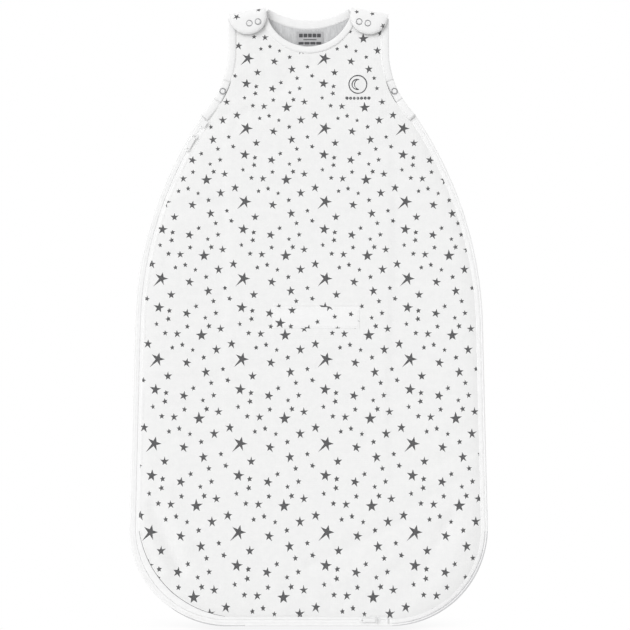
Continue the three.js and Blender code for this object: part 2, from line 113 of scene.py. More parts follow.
# Depth of the surfaces: the front rises from its edge to the plateau.
FRONT_EDGE_Y = -9.6 * MM
FRONT_RISE = 1.6 * MM
TOP_EDGE_Y = -11.6 * MM
EDGE_SOFT = 10 * MM
TOP_SOFT = 7 * MM
FEATHER = 0.3
FEATHER_SOFT = 1.5 * MM
GATHER = 0.35 * MM
DOME = 1.9 * MM
FABRIC = 1.5 * MM
LINING = 1.3 * MM
LAYER_GAP = 0.3 * MM

# The star print repeats on this tile; each size is (count, radius). The print grows towards the
# hem, as in the photo, and has its own size at PRINT_LEVEL.
TILE = (0.112, 0.103)
PRINT_GROWTH = 0.458
PRINT_LEVEL = 0.238
LONG_STAR = (0.21, 0.30)
STAR_SIZES = ((1, 8.6 * MM), (1, 8.3 * MM), (2, 6.9 * MM), (7, 5.8 * MM), (16, 3.6 * MM))
STAR_TILT = math.radians(18)
SMALL_STAR = 4.5 * MM
STAR_TRIES = 12

rng = random.Random(41)


# ------------------------------------------------------------ outline

def arc_edge(x, z, radius, start, end, hollow=False, step=4 * MM):
    """Rows of (x, z, outward normal x, outward normal z) along an arc."""
    count = max(2, int(abs(end - start) * radius / step))
    a = np.linspace(start, end, count + 1)
    side = -1 if hollow else 1
    nx, nz = np.cos(a), np.sin(a)
    return np.stack([x + radius * nx, z + radius * nz, side * nx, side * nz], axis=1)


def straight_edge(p, q, normal, step=4 * MM):
    count = max(1, int(math.dist(p, q) / step))
    t = np.linspace(0, 1, count + 1)[:, None]
    points = np.array(p) * (1 - t) + np.array(q) * t
    return np.hstack([points, np.tile(normal, (count + 1, 1))])


def mirrored(edge):
    return edge * np.array([-1, 1, -1, 1])


def inset(edge, d):
    d = np.broadcast_to(d, len(edge))[:, None]
    return edge[:, :2] - edge[:, 2:] * d


def armhole_arc(start, end):
    centre = (ARMHOLE_X + ARMHOLE_RADIUS, ARMHOLE_STRAIGHT_END)
    return arc_edge(*centre, ARMHOLE_RADIUS, math.pi + start, math.pi + end, hollow=True, step=3 * MM)


def armhole_edge(top):
    straight = straight_edge((ARMHOLE_X, top), (ARMHOLE_X, ARMHOLE_STRAIGHT_END), (1, 0))
    return np.vstack([straight, armhole_arc(0, ARMHOLE_TURN)[1:]])


UNDERARM = armhole_arc(0, ARMHOLE_TURN)[-1, :2]
LEAN = np.array([math.cos(HIP_LEAN), math.sin(HIP_LEAN)])
SIDE_RADIUS = -((UNDERARM - HIP) @ (UNDERARM - HIP)) / (2 * (UNDERARM - HIP) @ LEAN)
SIDE_CENTRE = np.array(HIP) - SIDE_RADIUS * LEAN
SIDE_START = math.atan2(*(UNDERARM - SIDE_CENTRE)[::-1])


def side_and_corner(start):
    """Side arc, leaning seam and hem corner of the right half, from underarm to hem."""
    side = arc_edge(*SIDE_CENTRE, SIDE_RADIUS, start, HIP_LEAN)
    corner_z = HEM_Z + CORNER_RADIUS
    seam_x = HIP[0] + (HIP[1] - corner_z) * math.tan(HIP_LEAN)
    corner_x = seam_x - CORNER_RADIUS / math.cos(HIP_LEAN)
    corner = arc_edge(corner_x, corner_z, CORNER_RADIUS, HIP_LEAN, -math.pi / 2)
    seam = straight_edge(side[-1, :2], corner[0, :2], LEAN)
    return np.vstack([side, seam[1:-1], corner])


RIGHT = side_and_corner(SIDE_START)
HEM = straight_edge((RIGHT[-1, 0], HEM_Z), (-RIGHT[-1, 0], HEM_Z), (0, -1))
LEFT = mirrored(RIGHT)
PERIMETER = np.vstack([RIGHT, HEM[1:-1], LEFT[::-1]])
ZIP_EDGE = np.vstack([LEFT, HEM[1:-1][::-1], RIGHT[-1:]])


def neck_arc(neck, radius, half, step=3 * MM):
    span = math.asin(half / radius)
    return arc_edge(0, neck["z"], radius, -math.pi / 2 - span, -math.pi / 2 + span, True, step)


def corner_weight(edge):
    """0 to 1 along an edge, highest in the middle of the lower left hem corner."""
    corner = (edge[:, 0] < -RIGHT[-1, 0]) & (edge[:, 1] < HEM_Z + CORNER_RADIUS)
    turn = np.arctan2(-edge[:, 3], -edge[:, 2])
    return np.where(corner, np.sin(np.clip(turn, 0, math.pi / 2) * 2) ** 0.7, 0)


def armhole_turn(edge):
    """Angle along the armhole arc, from 0 at its upper end."""
    return np.arctan2(ARMHOLE_STRAIGHT_END - edge[:, 1], ARMHOLE_X + ARMHOLE_RADIUS - np.abs(edge[:, 0]))


def window(value, low, high, soft):
    """1 between low and high, falling softly to 0 outside."""
    return 1 / (1 + np.exp((low - value) / soft)) / (1 + np.exp((value - high) / soft))


def beside_strip(edge):
    """1 beside the underarm strip, falling to 0 away from it."""
    margin = math.radians(1.5)
    return window(armhole_turn(edge), STRIP_FROM - margin, STRIP_TO + margin, math.radians(1.0))


def panel_loop(neck, left_inset, right_inset, trim=0.02, corner_recess=CORNER_RECESS, notch=0.0):
    """Closed outline of a panel: neck, right armhole, right side, hem, left side, left armhole."""
    armhole_line = armhole_edge(ARMHOLE_TOP - 4 * MM)
    armhole = inset(armhole_line, ARMHOLE_BAND - TUCK + notch * beside_strip(armhole_line))
    right = side_and_corner(SIDE_START - trim)
    left = mirrored(right)
    hem = straight_edge((right[-1, 0] - 5 * MM, HEM_Z), (left[-1, 0], HEM_Z), (0, -1))[:-1]
    left_all = np.vstack([hem, left[::-1]])
    recess = corner_recess * corner_weight(left_all) * (left_inset > PIPING)
    return np.vstack([
        neck_arc(neck, neck["radius"] + neck["band"] - TUCK, neck["sewn"])[:, :2],
        armhole,
        inset(right, right_inset),
        inset(left_all, left_inset + recess),
        (armhole * (-1, 1))[::-1],
    ])


# ------------------------------------------------------------ plane geometry helpers

def inside(points, loop):
    """Which points lie inside a closed loop, by crossing count."""
    a, b = loop, np.roll(loop, -1, axis=0)
    result = np.zeros(len(points), bool)
    for (ax, az), (bx, bz) in zip(a, b):
        crosses = (az > points[:, 1]) != (bz > points[:, 1])
        if az != bz:
            at = ax + (points[:, 1] - az) * (bx - ax) / (bz - az)
            result ^= crosses & (points[:, 0] < at)
    return result


def edge_distance(points, loop):
    """Distance from each point to the nearest stretch of a polyline."""
    best = np.full(len(points), 9.0)
    for p, q in zip(loop[:-1], loop[1:]):
        run = q - p
        t = np.clip(((points - p) @ run) / max(run @ run, 1e-12), 0, 1)
        best = np.minimum(best, np.linalg.norm(points - p - t[:, None] * run, axis=1))
    return best


def resampled(loop, step):
    """The same closed loop with long stretches split."""
    rows = []
    for p, q in zip(loop, np.roll(loop, -1, axis=0)):
        count = max(1, int(round(np.linalg.norm(q - p) / step)))
        rows += [p + (q - p) * k / count for k in range(count)]
    return np.array(rows)


def hex_grid(low, high, step):
    rows = np.arange(low[1], high[1], step * 0.866)
    columns = np.arange(low[0], high[0], step)
    return np.array([(x + (i % 2) * step / 2, z) for i, z in enumerate(rows) for x in columns])


def triangulated(outer, holes, shapes, step, folds=False):
    """Even triangles inside the outer loop, with the shapes' borders as edges; finer ones along
    the fold line of the loose corner if it folds.
    Returns points, triangles and whether each triangle is inside a shape."""
    loops = [resampled(outer, step)] + [resampled(h, step) for h in holes]
    grid = hex_grid(outer.min(axis=0), outer.max(axis=0), step)
    if folds:
        fine = hex_grid(outer.min(axis=0), outer.max(axis=0), FOLD_STEP)
        grid = np.vstack([grid[~near_fold(grid)], fine[near_fold(fine)]])
    keep = inside(grid, outer)
    for loop in loops:
        keep &= edge_distance(grid, np.vstack([loop, loop[:1]])) > 0.45 * step
    for hole in holes:
        keep &= ~inside(grid, hole)
    for centre, radius, _ in shapes:
        keep &= np.linalg.norm(grid - centre, axis=1) > radius + 0.3 * step
    points, edges, faces = [], [], []
    for loop in loops:
        start = len(points)
        points += list(loop)
        edges += [(start + i, start + (i + 1) % len(loop)) for i in range(len(loop))]
    for _, _, star in shapes:
        start = len(points)
        points += list(star)
        faces.append(list(range(start, start + len(star))))
    points += list(grid[keep])
    made = delaunay_2d_cdt([Vector(p) for p in points], edges, faces, 0, 1e-7)
    spots = np.array([tuple(v) for v in made[0]])
    triangles = np.array(made[2])
    marked = np.array([len(o) > 0 for o in made[5]])
    middle = spots[triangles].mean(axis=1)
    keep = inside(middle, outer)
    for hole in holes:
        keep &= ~inside(middle, hole)
    return spots, triangles[keep], marked[keep]


def border_edges(triangles):
    """Directed edges that belong to one triangle only."""
    pairs = np.vstack([triangles[:, [0, 1]], triangles[:, [1, 2]], triangles[:, [2, 0]]])
    key = np.sort(pairs, axis=1)
    _, first, counts = np.unique(key, axis=0, return_index=True, return_counts=True)
    return pairs[first[counts == 1]]


# ------------------------------------------------------------ mesh helpers

def new_object(name, verts, faces, materials, indices=None, smooth=True):
    mesh = bpy.data.meshes.new(name)
    mesh.from_pydata([tuple(v) for v in verts], [], [tuple(map(int, f)) for f in faces])
    for m in materials:
        mesh.materials.append(m)
    if indices is not None:
        mesh.polygons.foreach_set("material_index", list(map(int, indices)))
    mesh.polygons.foreach_set("use_smooth", [smooth] * len(mesh.polygons))
    mesh.update()
    made = bpy.data.objects.new(name, mesh)
    bpy.context.scene.collection.objects.link(made)
    return made


def outward(obj):
    """Turns all faces of a closed mesh outwards and drops unused points."""
    bm = bmesh.new()
    bm.from_mesh(obj.data)
    bmesh.ops.delete(bm, geom=[v for v in bm.verts if not v.link_faces], context="VERTS")
    bmesh.ops.remove_doubles(bm, verts=bm.verts, dist=1e-7)
    bmesh.ops.recalc_face_normals(bm, faces=bm.faces)
    bm.to_mesh(obj.data)
    bm.free()
    return obj


def two_faced(name, front, back, triangles, materials, marked, reverse=0, smooth=True):
    """Closed mesh of a front face, a back face and a rim. Marked front triangles take material 1,
    and the back face takes material number reverse."""
    count = len(front)
    rim = [(a, b, b + count, a + count) for a, b in border_edges(triangles)]
    faces = list(triangles[:, ::-1]) + list(triangles + count) + rim
    indices = list(marked) + [reverse] * len(triangles) + [0] * len(rim)
    made = outward(new_object(name, [*front, *back], faces, materials, indices, smooth))
    if smooth:
        made.data.set_sharp_from_angle(angle=SHARP)
    return made


def sheet(name, outer, holes, stars, face, thickness, materials, step=6 * MM, folds=False):
    """Fabric sheet with two faces and a rim. face(points) gives the y of its front face;
    positive thickness puts the other face behind it. materials: cloth, print, reverse."""
    spots, triangles, marked = triangulated(outer, holes, stars, step, folds)
    y = face(spots)
    front = np.column_stack([spots[:, 0], y, spots[:, 1]])
    return two_faced(name, front, front + (0, thickness, 0), triangles, materials, marked, reverse=2)


def sweep(name, edge, profile, material):
    """Closed tube along an edge; profile(i) gives its rows of (inset, y) at edge point i."""
    rings = []
    for i, (x, z, nx, nz) in enumerate(edge):
        rows = profile(i)
        rings.append(np.column_stack([x - nx * rows[:, 0], rows[:, 1], z - nz * rows[:, 0]]))
    size = len(rings[0])
    faces = [
        (i * size + k, i * size + (k + 1) % size, (i + 1) * size + (k + 1) % size, (i + 1) * size + k)
        for i in range(len(rings) - 1) for k in range(size)
    ]
    last = (len(rings) - 1) * size
    faces += [list(range(size)), [last + k for k in range(size)][::-1]]
    return outward(new_object(name, np.vstack(rings), faces, [material]))


def rounded(centre_d, half_d, centre_y, half_y, power=0.5, count=16):
    """Rounded band section as rows of (inset, y)."""
    a = np.arange(count) * 2 * math.pi / count
    d = np.sign(np.cos(a)) * np.abs(np.cos(a)) ** power
    y = np.sign(np.sin(a)) * np.abs(np.sin(a)) ** power
    return np.column_stack([centre_d + half_d * d, centre_y + half_y * y])


def band(name, edge, near, far, back, front, material, wave=0.12 * MM, power=0.5, tilt=0.0):
    """Soft folded band between two insets; front and back may vary along the edge, and tilt
    pushes its outer side to the back."""
    count = len(edge)
    near, far, back, front, tilt = (np.broadcast_to(v, count) for v in (near, far, back, front, tilt))
    phase = rng.random() * 6

    def profile(i):
        ripple = wave * (math.sin(i * 0.9 + phase) + 0.6 * math.sin(i * 2.3 + phase))
        rows = rounded(
            (near[i] + far[i]) / 2,
            (far[i] - near[i]) / 2,
            (back[i] + front[i]) / 2 + ripple,
            abs(back[i] - front[i]) / 2,
            power,
        )
        rows[:, 1] += tilt[i] * (far[i] - rows[:, 0])
        return rows

    return sweep(name, edge, profile, material)


def lathe(name, profile, centre, material, segments=40):
    """Turned piece on an axis along Y through centre (x, z); profile rows are (radius, y) in mm."""
    rows = np.array(profile) * MM
    a = np.arange(segments) * 2 * math.pi / segments
    rings = [
        np.column_stack([centre[0] + r * np.cos(a), np.full(segments, y), centre[1] + r * np.sin(a)])
        for r, y in rows
    ]
    count = len(rings)
    faces = [
        (i * segments + k, i * segments + (k + 1) % segments,
         (i + 1) % count * segments + (k + 1) % segments, (i + 1) % count * segments + k)
        for i in range(count) for k in range(segments)
    ]
    return outward(new_object(name, np.vstack(rings), faces, [material]))


def ring_section(inner, outer, back, front, count=14):
    return rounded((inner + outer) / 2, (outer - inner) / 2, (back + front) / 2, abs(back - front) / 2,
                   0.6, count)


def joined(name, objects):
    """One object from several, keeping each one's materials."""
    bpy.ops.object.select_all(action="DESELECT")
    for o in objects:
        o.select_set(True)
    bpy.context.view_layer.objects.active = objects[0]
    bpy.ops.object.join()
    objects[0].name = name
    objects[0].data.name = name
    return objects[0]


def stitch_row(name, line, material, pitch=2.9 * MM, length=2.1 * MM, radius=0.2 * MM):
    """Row of small thread stitches along a polyline of (x, y, z)."""
    line = np.asarray(line)
    run = np.r_[0, np.cumsum(np.linalg.norm(np.diff(line, axis=0), axis=1))]
    verts, faces = [], []
    for s in np.arange(pitch / 2, run[-1] - pitch / 2, pitch):
        p = np.array([np.interp(s, run, line[:, k]) for k in range(3)])
        q = np.array([np.interp(s + length / 2, run, line[:, k]) for k in range(3)])
        along = (q - p) / max(np.linalg.norm(q - p), 1e-9)
        across = np.cross(along, (0, 1, 0))
        base = len(verts)
        verts += [p - along * length / 2, p + along * length / 2]
        verts += [p + across * radius, p + (0, radius, 0), p - across * radius, p - (0, radius, 0)]
        for k in range(4):
            a, b = base + 2 + k, base + 2 + (k + 1) % 4
            faces += [(base, b, a), (base + 1, a, b)]
    return outward(new_object(name, verts, faces, [material]))


# ------------------------------------------------------------ materials

def node_material(name, build):
    m = bpy.data.materials.new(name)
    m.use_nodes = True
    tree = m.node_tree
    build(tree, tree.nodes["Principled BSDF"])
    return m


def add(tree, kind, **values):
    node = tree.nodes.new(kind)
    for key, value in values.items():
        if key in node.inputs:
            node.inputs[key].default_value = value
        else:
            setattr(node, key, value)
    return node


def noise_of(tree, scale, detail=3.0, stretch=(1, 1, 1)):
    coords = add(tree, "ShaderNodeTexCoord")
    mapping = add(tree, "ShaderNodeMapping", Scale=stretch)
    noise = add(tree, "ShaderNodeTexNoise", Scale=scale, Detail=detail)
    tree.links.new(coords.outputs["Object"], mapping.inputs["Vector"])
    tree.links.new(mapping.outputs["Vector"], noise.inputs["Vector"])
    return noise


def wave_of(tree, scale, direction, distortion=0.0):
    coords = add(tree, "ShaderNodeTexCoord")
    wave = add(tree, "ShaderNodeTexWave", Scale=scale, Distortion=distortion)
    wave.bands_direction = direction
    tree.links.new(coords.outputs["Object"], wave.inputs["Vector"])
    return wave


def ramp_of(tree, source, low, high, start=0.3, end=0.7):
    ramp = add(tree, "ShaderNodeValToRGB")
    ramp.color_ramp.elements[0].position = start
    ramp.color_ramp.elements[0].color = (*low, 1)
    ramp.color_ramp.elements[1].position = end
    ramp.color_ramp.elements[1].color = (*high, 1)
    tree.links.new(source, ramp.inputs["Fac"])
    return ramp


def bump_of(tree, shader, heights, strength, distance):
    """Bump from the sum of the given outputs."""
    total = heights[0]
    for other in heights[1:]:
        sum_node = add(tree, "ShaderNodeMath", operation="ADD")
        tree.links.new(total, sum_node.inputs[0])
        tree.links.new(other, sum_node.inputs[1])
        total = sum_node.outputs[0]
    bump = add(tree, "ShaderNodeBump", Strength=strength, Distance=distance)
    tree.links.new(total, bump.inputs["Height"])
    tree.links.new(bump.outputs["Normal"], shader.inputs["Normal"])


KNIT_WAVE = 900.0 / 6.283


def surface(name, low, high, noise, waves, bump, fine=None, span=(0.3, 0.7), **inputs):
    """Material mottled between two colours, with a bump of waves and of its own or a finer noise."""
    def build(tree, shader):
        mottle = noise_of(tree, *noise)
        ramp = ramp_of(tree, mottle.outputs["Fac"], low, high, *span)
        tree.links.new(ramp.outputs["Color"], shader.inputs["Base Color"])
        for key, value in inputs.items():
            shader.inputs[key.replace("_", " ")].default_value = value
        heights = [wave_of(tree, *w) for w in waves] + [noise_of(tree, *fine) if fine else mottle]
        bump_of(tree, shader, [h.outputs["Fac"] for h in heights], *bump)
    return node_material(name, build)


def dimmed(color, share):
    return tuple(c * share for c in color)


def knit(name, low, high, fuzz=0.25, grain=140.0):
    """Jersey: fine wales and courses with soft mottling."""
    waves = [(KNIT_WAVE, "X", 0.6), (KNIT_WAVE * 0.8, "Z", 0.6)]
    return surface(name, low, high, (grain, 4.0), waves, (0.25, 0.25 * MM), (60.0, 3.0), Roughness=0.92,
                   Sheen_Weight=fuzz, Sheen_Roughness=0.6, Specular_IOR_Level=0.2)


def ribbed(name, scale, direction, color, strength):
    """Ribbed cloth, tape or thread."""
    return surface(name, dimmed(color, 0.965), color, (180.0, 3.0), [(scale, direction, 0.8)],
                   (strength, 0.3 * MM), Roughness=0.88, Sheen_Weight=0.2)


def metal(name, color, roughness, metallic):
    return surface(name, dimmed(color, 0.93), color, (900.0, 3.0), [], (0.06, 0.1 * MM),
                   Roughness=roughness, Metallic=metallic)


COTTON = knit("star_cotton", (0.865, 0.866, 0.865), (0.895, 0.895, 0.892))
PRINT = knit("star_print", (0.070, 0.070, 0.073), (0.165, 0.165, 0.168), 0.1, 700.0)
REVERSE = knit("cotton_reverse", (0.84, 0.84, 0.84), (0.88, 0.88, 0.88))
MERINO = surface("merino_lining", (0.55, 0.553, 0.56), (0.67, 0.673, 0.68), (420.0, 5.0, (1.0, 1.0, 0.35)),
                 [(KNIT_WAVE * 0.8, "X", 1.0)], (0.35, 0.3 * MM), span=(0.34, 0.66),
                 Roughness=0.95, Sheen_Weight=0.4)
TRIM = ribbed("trim_cotton", 110.0, "Z", (0.915, 0.915, 0.915), 0.3)
# Painted light: a lighter copy of the trim cotton for the edge piping and side band, making up for the shade
# in the gaps at the edges.
PAINTED_LIGHT_TRIM = ribbed("painted_light_edge_cotton", 110.0, "Z", (0.95, 0.95, 0.95), 0.15)
TAPE = ribbed("zip_tape", 260.0, "DIAGONAL", (0.94, 0.94, 0.94), 0.2)
# A lighter copy of the star cotton. On the shoulder tabs it is painted light that makes up for the shade on
# their tilted faces; on the belt flap it makes the cover a little lighter than the panel.
COVER = knit("cover_cotton", (0.895, 0.895, 0.895), (0.92, 0.92, 0.92))
COIL = surface("zip_coil", dimmed((0.92, 0.92, 0.92), 0.96), (0.92, 0.92, 0.92), (300.0, 2.0), [],
               (0.05, 0.1 * MM), Roughness=0.35)
ENAMEL = metal("zip_metal", (0.93, 0.93, 0.93), 0.3, 0.0)
NICKEL = metal("snap_metal", (0.42, 0.42, 0.43), 0.32, 1.0)
THREAD = ribbed("white_thread", 600.0, "DIAGONAL", (0.92, 0.92, 0.92), 0.3)
# Dark grey cloth for painted shade where the edge rolls under at the lower corners.
RIM_SHADE_CLOTH = ribbed("painted_rim_shade", 110.0, "Z", (0.62, 0.62, 0.63), 0.15)
# Near-black cloth for a painted shadow: the thin dark line under the front panel's lifted edge at the lower
# left corner.
SHADOW_LINE_CLOTH = ribbed("painted_edge_shadow", 900.0, "DIAGONAL", (0.16, 0.16, 0.165), 0.3)
DARK_THREAD = ribbed("motif_thread", 700.0, "DIAGONAL", (0.13, 0.13, 0.14), 0.6)
LABEL = ribbed("label_cloth", 500.0, "Z", (0.50, 0.50, 0.51), 0.3)
LABEL_INK = ribbed("label_bars", 500.0, "Z", (0.085, 0.085, 0.09), 0.3)


# ------------------------------------------------------------ star print

def star_shape(radius, maker, long_arm=False):
    """Hand-cut star as ten points round the origin, with uneven arms."""
    start = math.radians(218) if long_arm else math.pi / 2 + maker.uniform(-STAR_TILT, STAR_TILT)
    points = []
    for k in range(10):
        arm = k % 2 == 0
        waist = 0.47 if radius < SMALL_STAR else 0.38
        reach = radius * (maker.uniform(0.88, 1.12) if arm else maker.uniform(waist - 0.05, waist + 0.05))
        if k == 0 and long_arm:
            reach *= 1.45
        angle = start + k * math.pi / 5 + maker.uniform(-0.11, 0.11)
        points.append((reach * math.cos(angle), reach * math.sin(angle)))
    return np.array(points)


def star_tile():
    """Star places and shapes on one repeat, spread evenly with wrap-round distances."""
    maker = random.Random(23)
    placed = []
    for count, radius in STAR_SIZES:
        for k in range(count):
            best, best_gap = np.array(LONG_STAR) * TILE, -1
            for _ in range(STAR_TRIES if placed else 0):
                spot = np.array([maker.random() * TILE[0], maker.random() * TILE[1]])
                gap = 1.0
                for other, other_radius, _ in placed:
                    delta = np.abs(spot - other)
                    delta = np.minimum(delta, np.array(TILE) - delta)
                    gap = min(gap, np.linalg.norm(delta) - radius - other_radius)
                if gap > best_gap:
                    best, best_gap = spot, gap
            size = radius * maker.uniform(0.9, 1.12)
            placed.append((best, size, star_shape(size, maker, long_arm=not placed)))
    return placed


STAR_TILE = star_tile()


def stars_over(low, high, offset=(0.0, 0.0)):
    """Stars of the repeating print that touch a box."""
    found = []
    for i in range(-4, 4):
        for j in range(-8, 4):
            for spot, size, shape in STAR_TILE:
                u, v = spot + np.array([i, j]) * TILE + offset
                growth = math.exp(-PRINT_GROWTH * v)
                scale = np.array([math.sqrt(growth), growth])
                centre = np.array([u * scale[0], PRINT_LEVEL + (1 - growth) / PRINT_GROWTH])
                reach = size * growth * 1.5
                if np.all(centre > np.array(low) - reach) and np.all(centre < np.array(high) + reach):
                    found.append((centre, size * max(scale) * 1.05, shape * scale + centre))
    return found


def plain_round(stars, low, high):
    """The stars without those centred in a box."""
    return [s for s in stars if not (np.all(s[0] > low) and np.all(s[0] < high))]


# ------------------------------------------------------------ inflated cloth

SIM_STEP = 9 * MM
SIM_FRAMES = 18


def cloth_heights():
    """Inflates a closed bag of two sheets, held at its border. Returns the front sheet's rest
    places, its triangles, which points are held, and the height each point reached."""
    loop = panel_loop(FRONT_NECK, ZIP_PANEL_EDGE, SEAM_BAND)
    spots, triangles, _ = triangulated(loop, [], [], SIM_STEP)
    count = len(spots)
    border = np.unique(border_edges(triangles))
    is_border = np.zeros(count, bool)
    is_border[border] = True
    jitter = np.array([rng.uniform(-0.3, 0.3) * MM for _ in range(count)])
    front = np.column_stack([spots[:, 0], np.where(is_border, 0, -1 * MM + jitter), spots[:, 1]])
    back_index = np.where(is_border, np.arange(count), 0)
    back_index[~is_border] = count + np.arange((~is_border).sum())
    back = front[~is_border] * (1, -1, 1)
    faces = list(triangles[:, ::-1]) + list(back_index[triangles])
    bag = outward(new_object("cloth_simulation", np.vstack([front, back]), faces, []))
    pins = bag.vertex_groups.new(name="pins")
    pins.add([int(v) for v in border], 1.0, "REPLACE")
    cloth = bag.modifiers.new("cloth", "CLOTH").settings
    cloth.quality = 5
    cloth.mass = 0.15
    cloth.tension_stiffness = 12
    cloth.compression_stiffness = 12
    cloth.bending_stiffness = 0.2
    cloth.use_pressure = True
    cloth.uniform_pressure_force = 4
    cloth.shrink_min = -0.02
    cloth.vertex_group_mass = "pins"
    bpy.context.scene.gravity = (0, 0, 0)
    for f in range(1, SIM_FRAMES + 1):
        bpy.context.scene.frame_set(f)
    settled = bag.evaluated_get(bpy.context.evaluated_depsgraph_get()).to_mesh()
    places = np.array([tuple(v.co) for v in settled.vertices])[:count]
    heights = np.maximum(0, -places[:, 1])
    bpy.data.objects.remove(bag)
    bpy.context.scene.frame_set(1)
    return spots, triangles, is_border, heights


def smoothed(values, triangles, fixed, rounds):
    pairs = np.vstack([triangles[:, [0, 1]], triangles[:, [1, 2]], triangles[:, [2, 0]]])
    result = values.copy()
    for _ in range(rounds):
        total = np.zeros(len(values))
        weight = np.zeros(len(values))
        np.add.at(total, pairs[:, 0], result[pairs[:, 1]])
        np.add.at(total, pairs[:, 1], result[pairs[:, 0]])
        np.add.at(weight, pairs[:, 0], 1)
        np.add.at(weight, pairs[:, 1], 1)
        result = np.where(fixed, values, total / np.maximum(weight, 1))
    return result


DOME_SCALE = 34 * MM
WRINKLE_GAIN = 0.3
WRINKLE_CAP = 0.7 * MM
SMOOTH_ROUNDS = 14


def height_surface():
    """BVH whose y is minus the wanted height of the front over its edge."""
    spots, triangles, fixed, heights = cloth_heights()
    low = smoothed(heights, triangles, fixed, SMOOTH_ROUNDS)
    wrinkles = np.clip((heights - low) * WRINKLE_GAIN, -WRINKLE_CAP, WRINKLE_CAP)
    wanted = DOME * (1 - np.exp(-low / DOME_SCALE)) + wrinkles
    verts = [Vector((x, -h, z)) for (x, z), h in zip(spots, wanted)]
    return BVHTree.FromPolygons(verts, [tuple(map(int, t)) for t in triangles])


HEIGHTS = height_surface()
BORDER_LINE = PERIMETER[:, :2]


def cloth_height(points):
    result = np.zeros(len(points))
    for i, (x, z) in enumerate(points if HEIGHTS else []):
        hit = HEIGHTS.ray_cast(Vector((x, -1, z)), Vector((0, 1, 0)))[0]
        if hit is not None:
            result[i] = -hit.y
    return result


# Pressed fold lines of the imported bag: the middle third stands a little proud between them.
# Each is (x, side it rises from, foot z, top z).
CREASES = ((-0.118, 1, -0.11, 0.31), (0.1155, -1, -0.22, 0.23))
CREASE_STEP = 0.55 * MM
CREASE_SOFT = 1.7 * MM

# Soft folds: ends (x, z, x, z), half width and height in mm, negative for a valley.
FOLDS = (
    (-0.222, -0.270, -0.182, -0.356, 8, -2.9),
    (-0.203, -0.240, -0.170, -0.325, 8, 1.3),
    (-0.238, -0.285, -0.200, -0.362, 7, 2.2),
    (-0.226, -0.225, -0.214, -0.262, 4, 0.6),
    (-0.190, -0.385, -0.120, -0.412, 6, 0.8),
    (0.002, -0.352, 0.137, -0.287, 8, -1.1),
    (0.040, -0.372, 0.118, -0.345, 10, 0.8),
    (0.158, -0.366, 0.214, -0.262, 7, -1.2),
    (0.184, -0.382, 0.226, -0.300, 8, 0.9),
    (-0.123, 0.280, -0.106, 0.312, 4, -0.9),
    (-0.109, 0.262, -0.088, 0.296, 4, -0.8),
    (-0.214, 0.040, -0.200, 0.085, 6, -0.6),
    (-0.076, -0.082, -0.074, -0.158, 4, 0.6),
    (0.080, -0.145, 0.081, -0.188, 3, -0.6),
)


def crease_height(points):
    x, z = points[:, 0], points[:, 1]
    total = np.zeros(len(points))
    for place_x, side, foot, top in CREASES:
        line = place_x + 3 * MM * np.sin(z * 14)
        near = window(z, foot, top, 15 * MM) * np.exp(-np.abs(x - line) / (30 * MM))
        total += near * CREASE_STEP * np.tanh(side * (x - line) / CREASE_SOFT)
    return total


def fold_height(points):
    total = np.zeros(len(points))
    for x0, z0, x1, z1, half, height in FOLDS:
        away = edge_distance(points, np.array([(x0, z0), (x1, z1)]))
        total += height * MM * np.exp(-((away / (half * MM)) ** 2))
    return total


def puckers(points, distance):
    """Gathers along the zip and along the hem."""
    along = np.arctan2(points[:, 1] + 0.1, points[:, 0])
    on_zip = (points[:, 0] < -0.1) | (points[:, 1] < -0.38)
    gather = np.sin(along * 75 + 2 * np.sin(along * 31)) * np.exp(-distance / (12 * MM))
    return GATHER * gather * on_zip


TOP_LINES = [neck_arc(FRONT_NECK, FRONT_NECK["radius"] + FRONT_NECK["band"], FRONT_NECK["sewn"])[:, :2]]
TOP_LINES += [inset(turn(armhole_edge(ARMHOLE_TOP + 6 * MM)), ARMHOLE_BAND) for turn in (mirrored, np.array)]


def front_face(points):
    """y of the outer face of the front panel. It sinks to the side trims, and to the neck and
    armhole bindings."""
    distance = edge_distance(points, BORDER_LINE)
    edge_rise = 1 - np.exp(-np.maximum(distance - SEAM_BAND, 0) / EDGE_SOFT)
    height = cloth_height(points) + puckers(points, distance)
    height += crease_height(points) + fold_height(points)
    panel_edge = np.where(points[:, 0] < 0.1, ZIP_PANEL_EDGE, SEAM_BAND)
    edge_rise -= FEATHER * np.exp(-np.maximum(distance - panel_edge, 0) / FEATHER_SOFT)
    main = FRONT_EDGE_Y - FRONT_RISE * edge_rise - np.clip(height, -3 * MM, 3 * MM) * edge_rise
    top = np.min([edge_distance(points, line) for line in TOP_LINES], axis=0)
    return main + (np.maximum(main, TOP_EDGE_Y) - main) * np.exp(-top / TOP_SOFT)


def back_face(points):
    """y of the outer face of the back panel: flat, curving in to the piping at the edge."""
    distance = edge_distance(points, BORDER_LINE)
    ripple = 0.25 * MM * np.sin(points[:, 0] * 60 + 3 * np.sin(points[:, 1] * 21))
    return -3.4 * MM * np.exp(-distance / (5 * MM)) - 0.3 * MM + ripple * (distance > 0.02)


# ------------------------------------------------------------ joints and bodies

JOINTS = {j["name"]: j for j in frame["record"]["behaviour"]["joints"]}


def fold_frame():
    """Point on the fold line of the loose corner and the normal towards the fixed side."""
    joint = JOINTS["front_flap_fold"]
    axis = Vector(joint["axis"]).normalized()
    return Vector(joint["pos_m"]), Vector((axis.z, 0, -axis.x))


FOLD_POINT, FOLD_NORMAL = fold_frame()
FOLD_SOFT = 16 * MM
FOLD_STEP = 2.4 * MM


def near_fold(points):
    """Which points lie in the strip that bends when the loose corner is turned back."""
    away = (points - (FOLD_POINT.x, FOLD_POINT.z)) @ (FOLD_NORMAL.x, FOLD_NORMAL.z)
    return np.abs(away) < FOLD_SOFT + 3 * MM


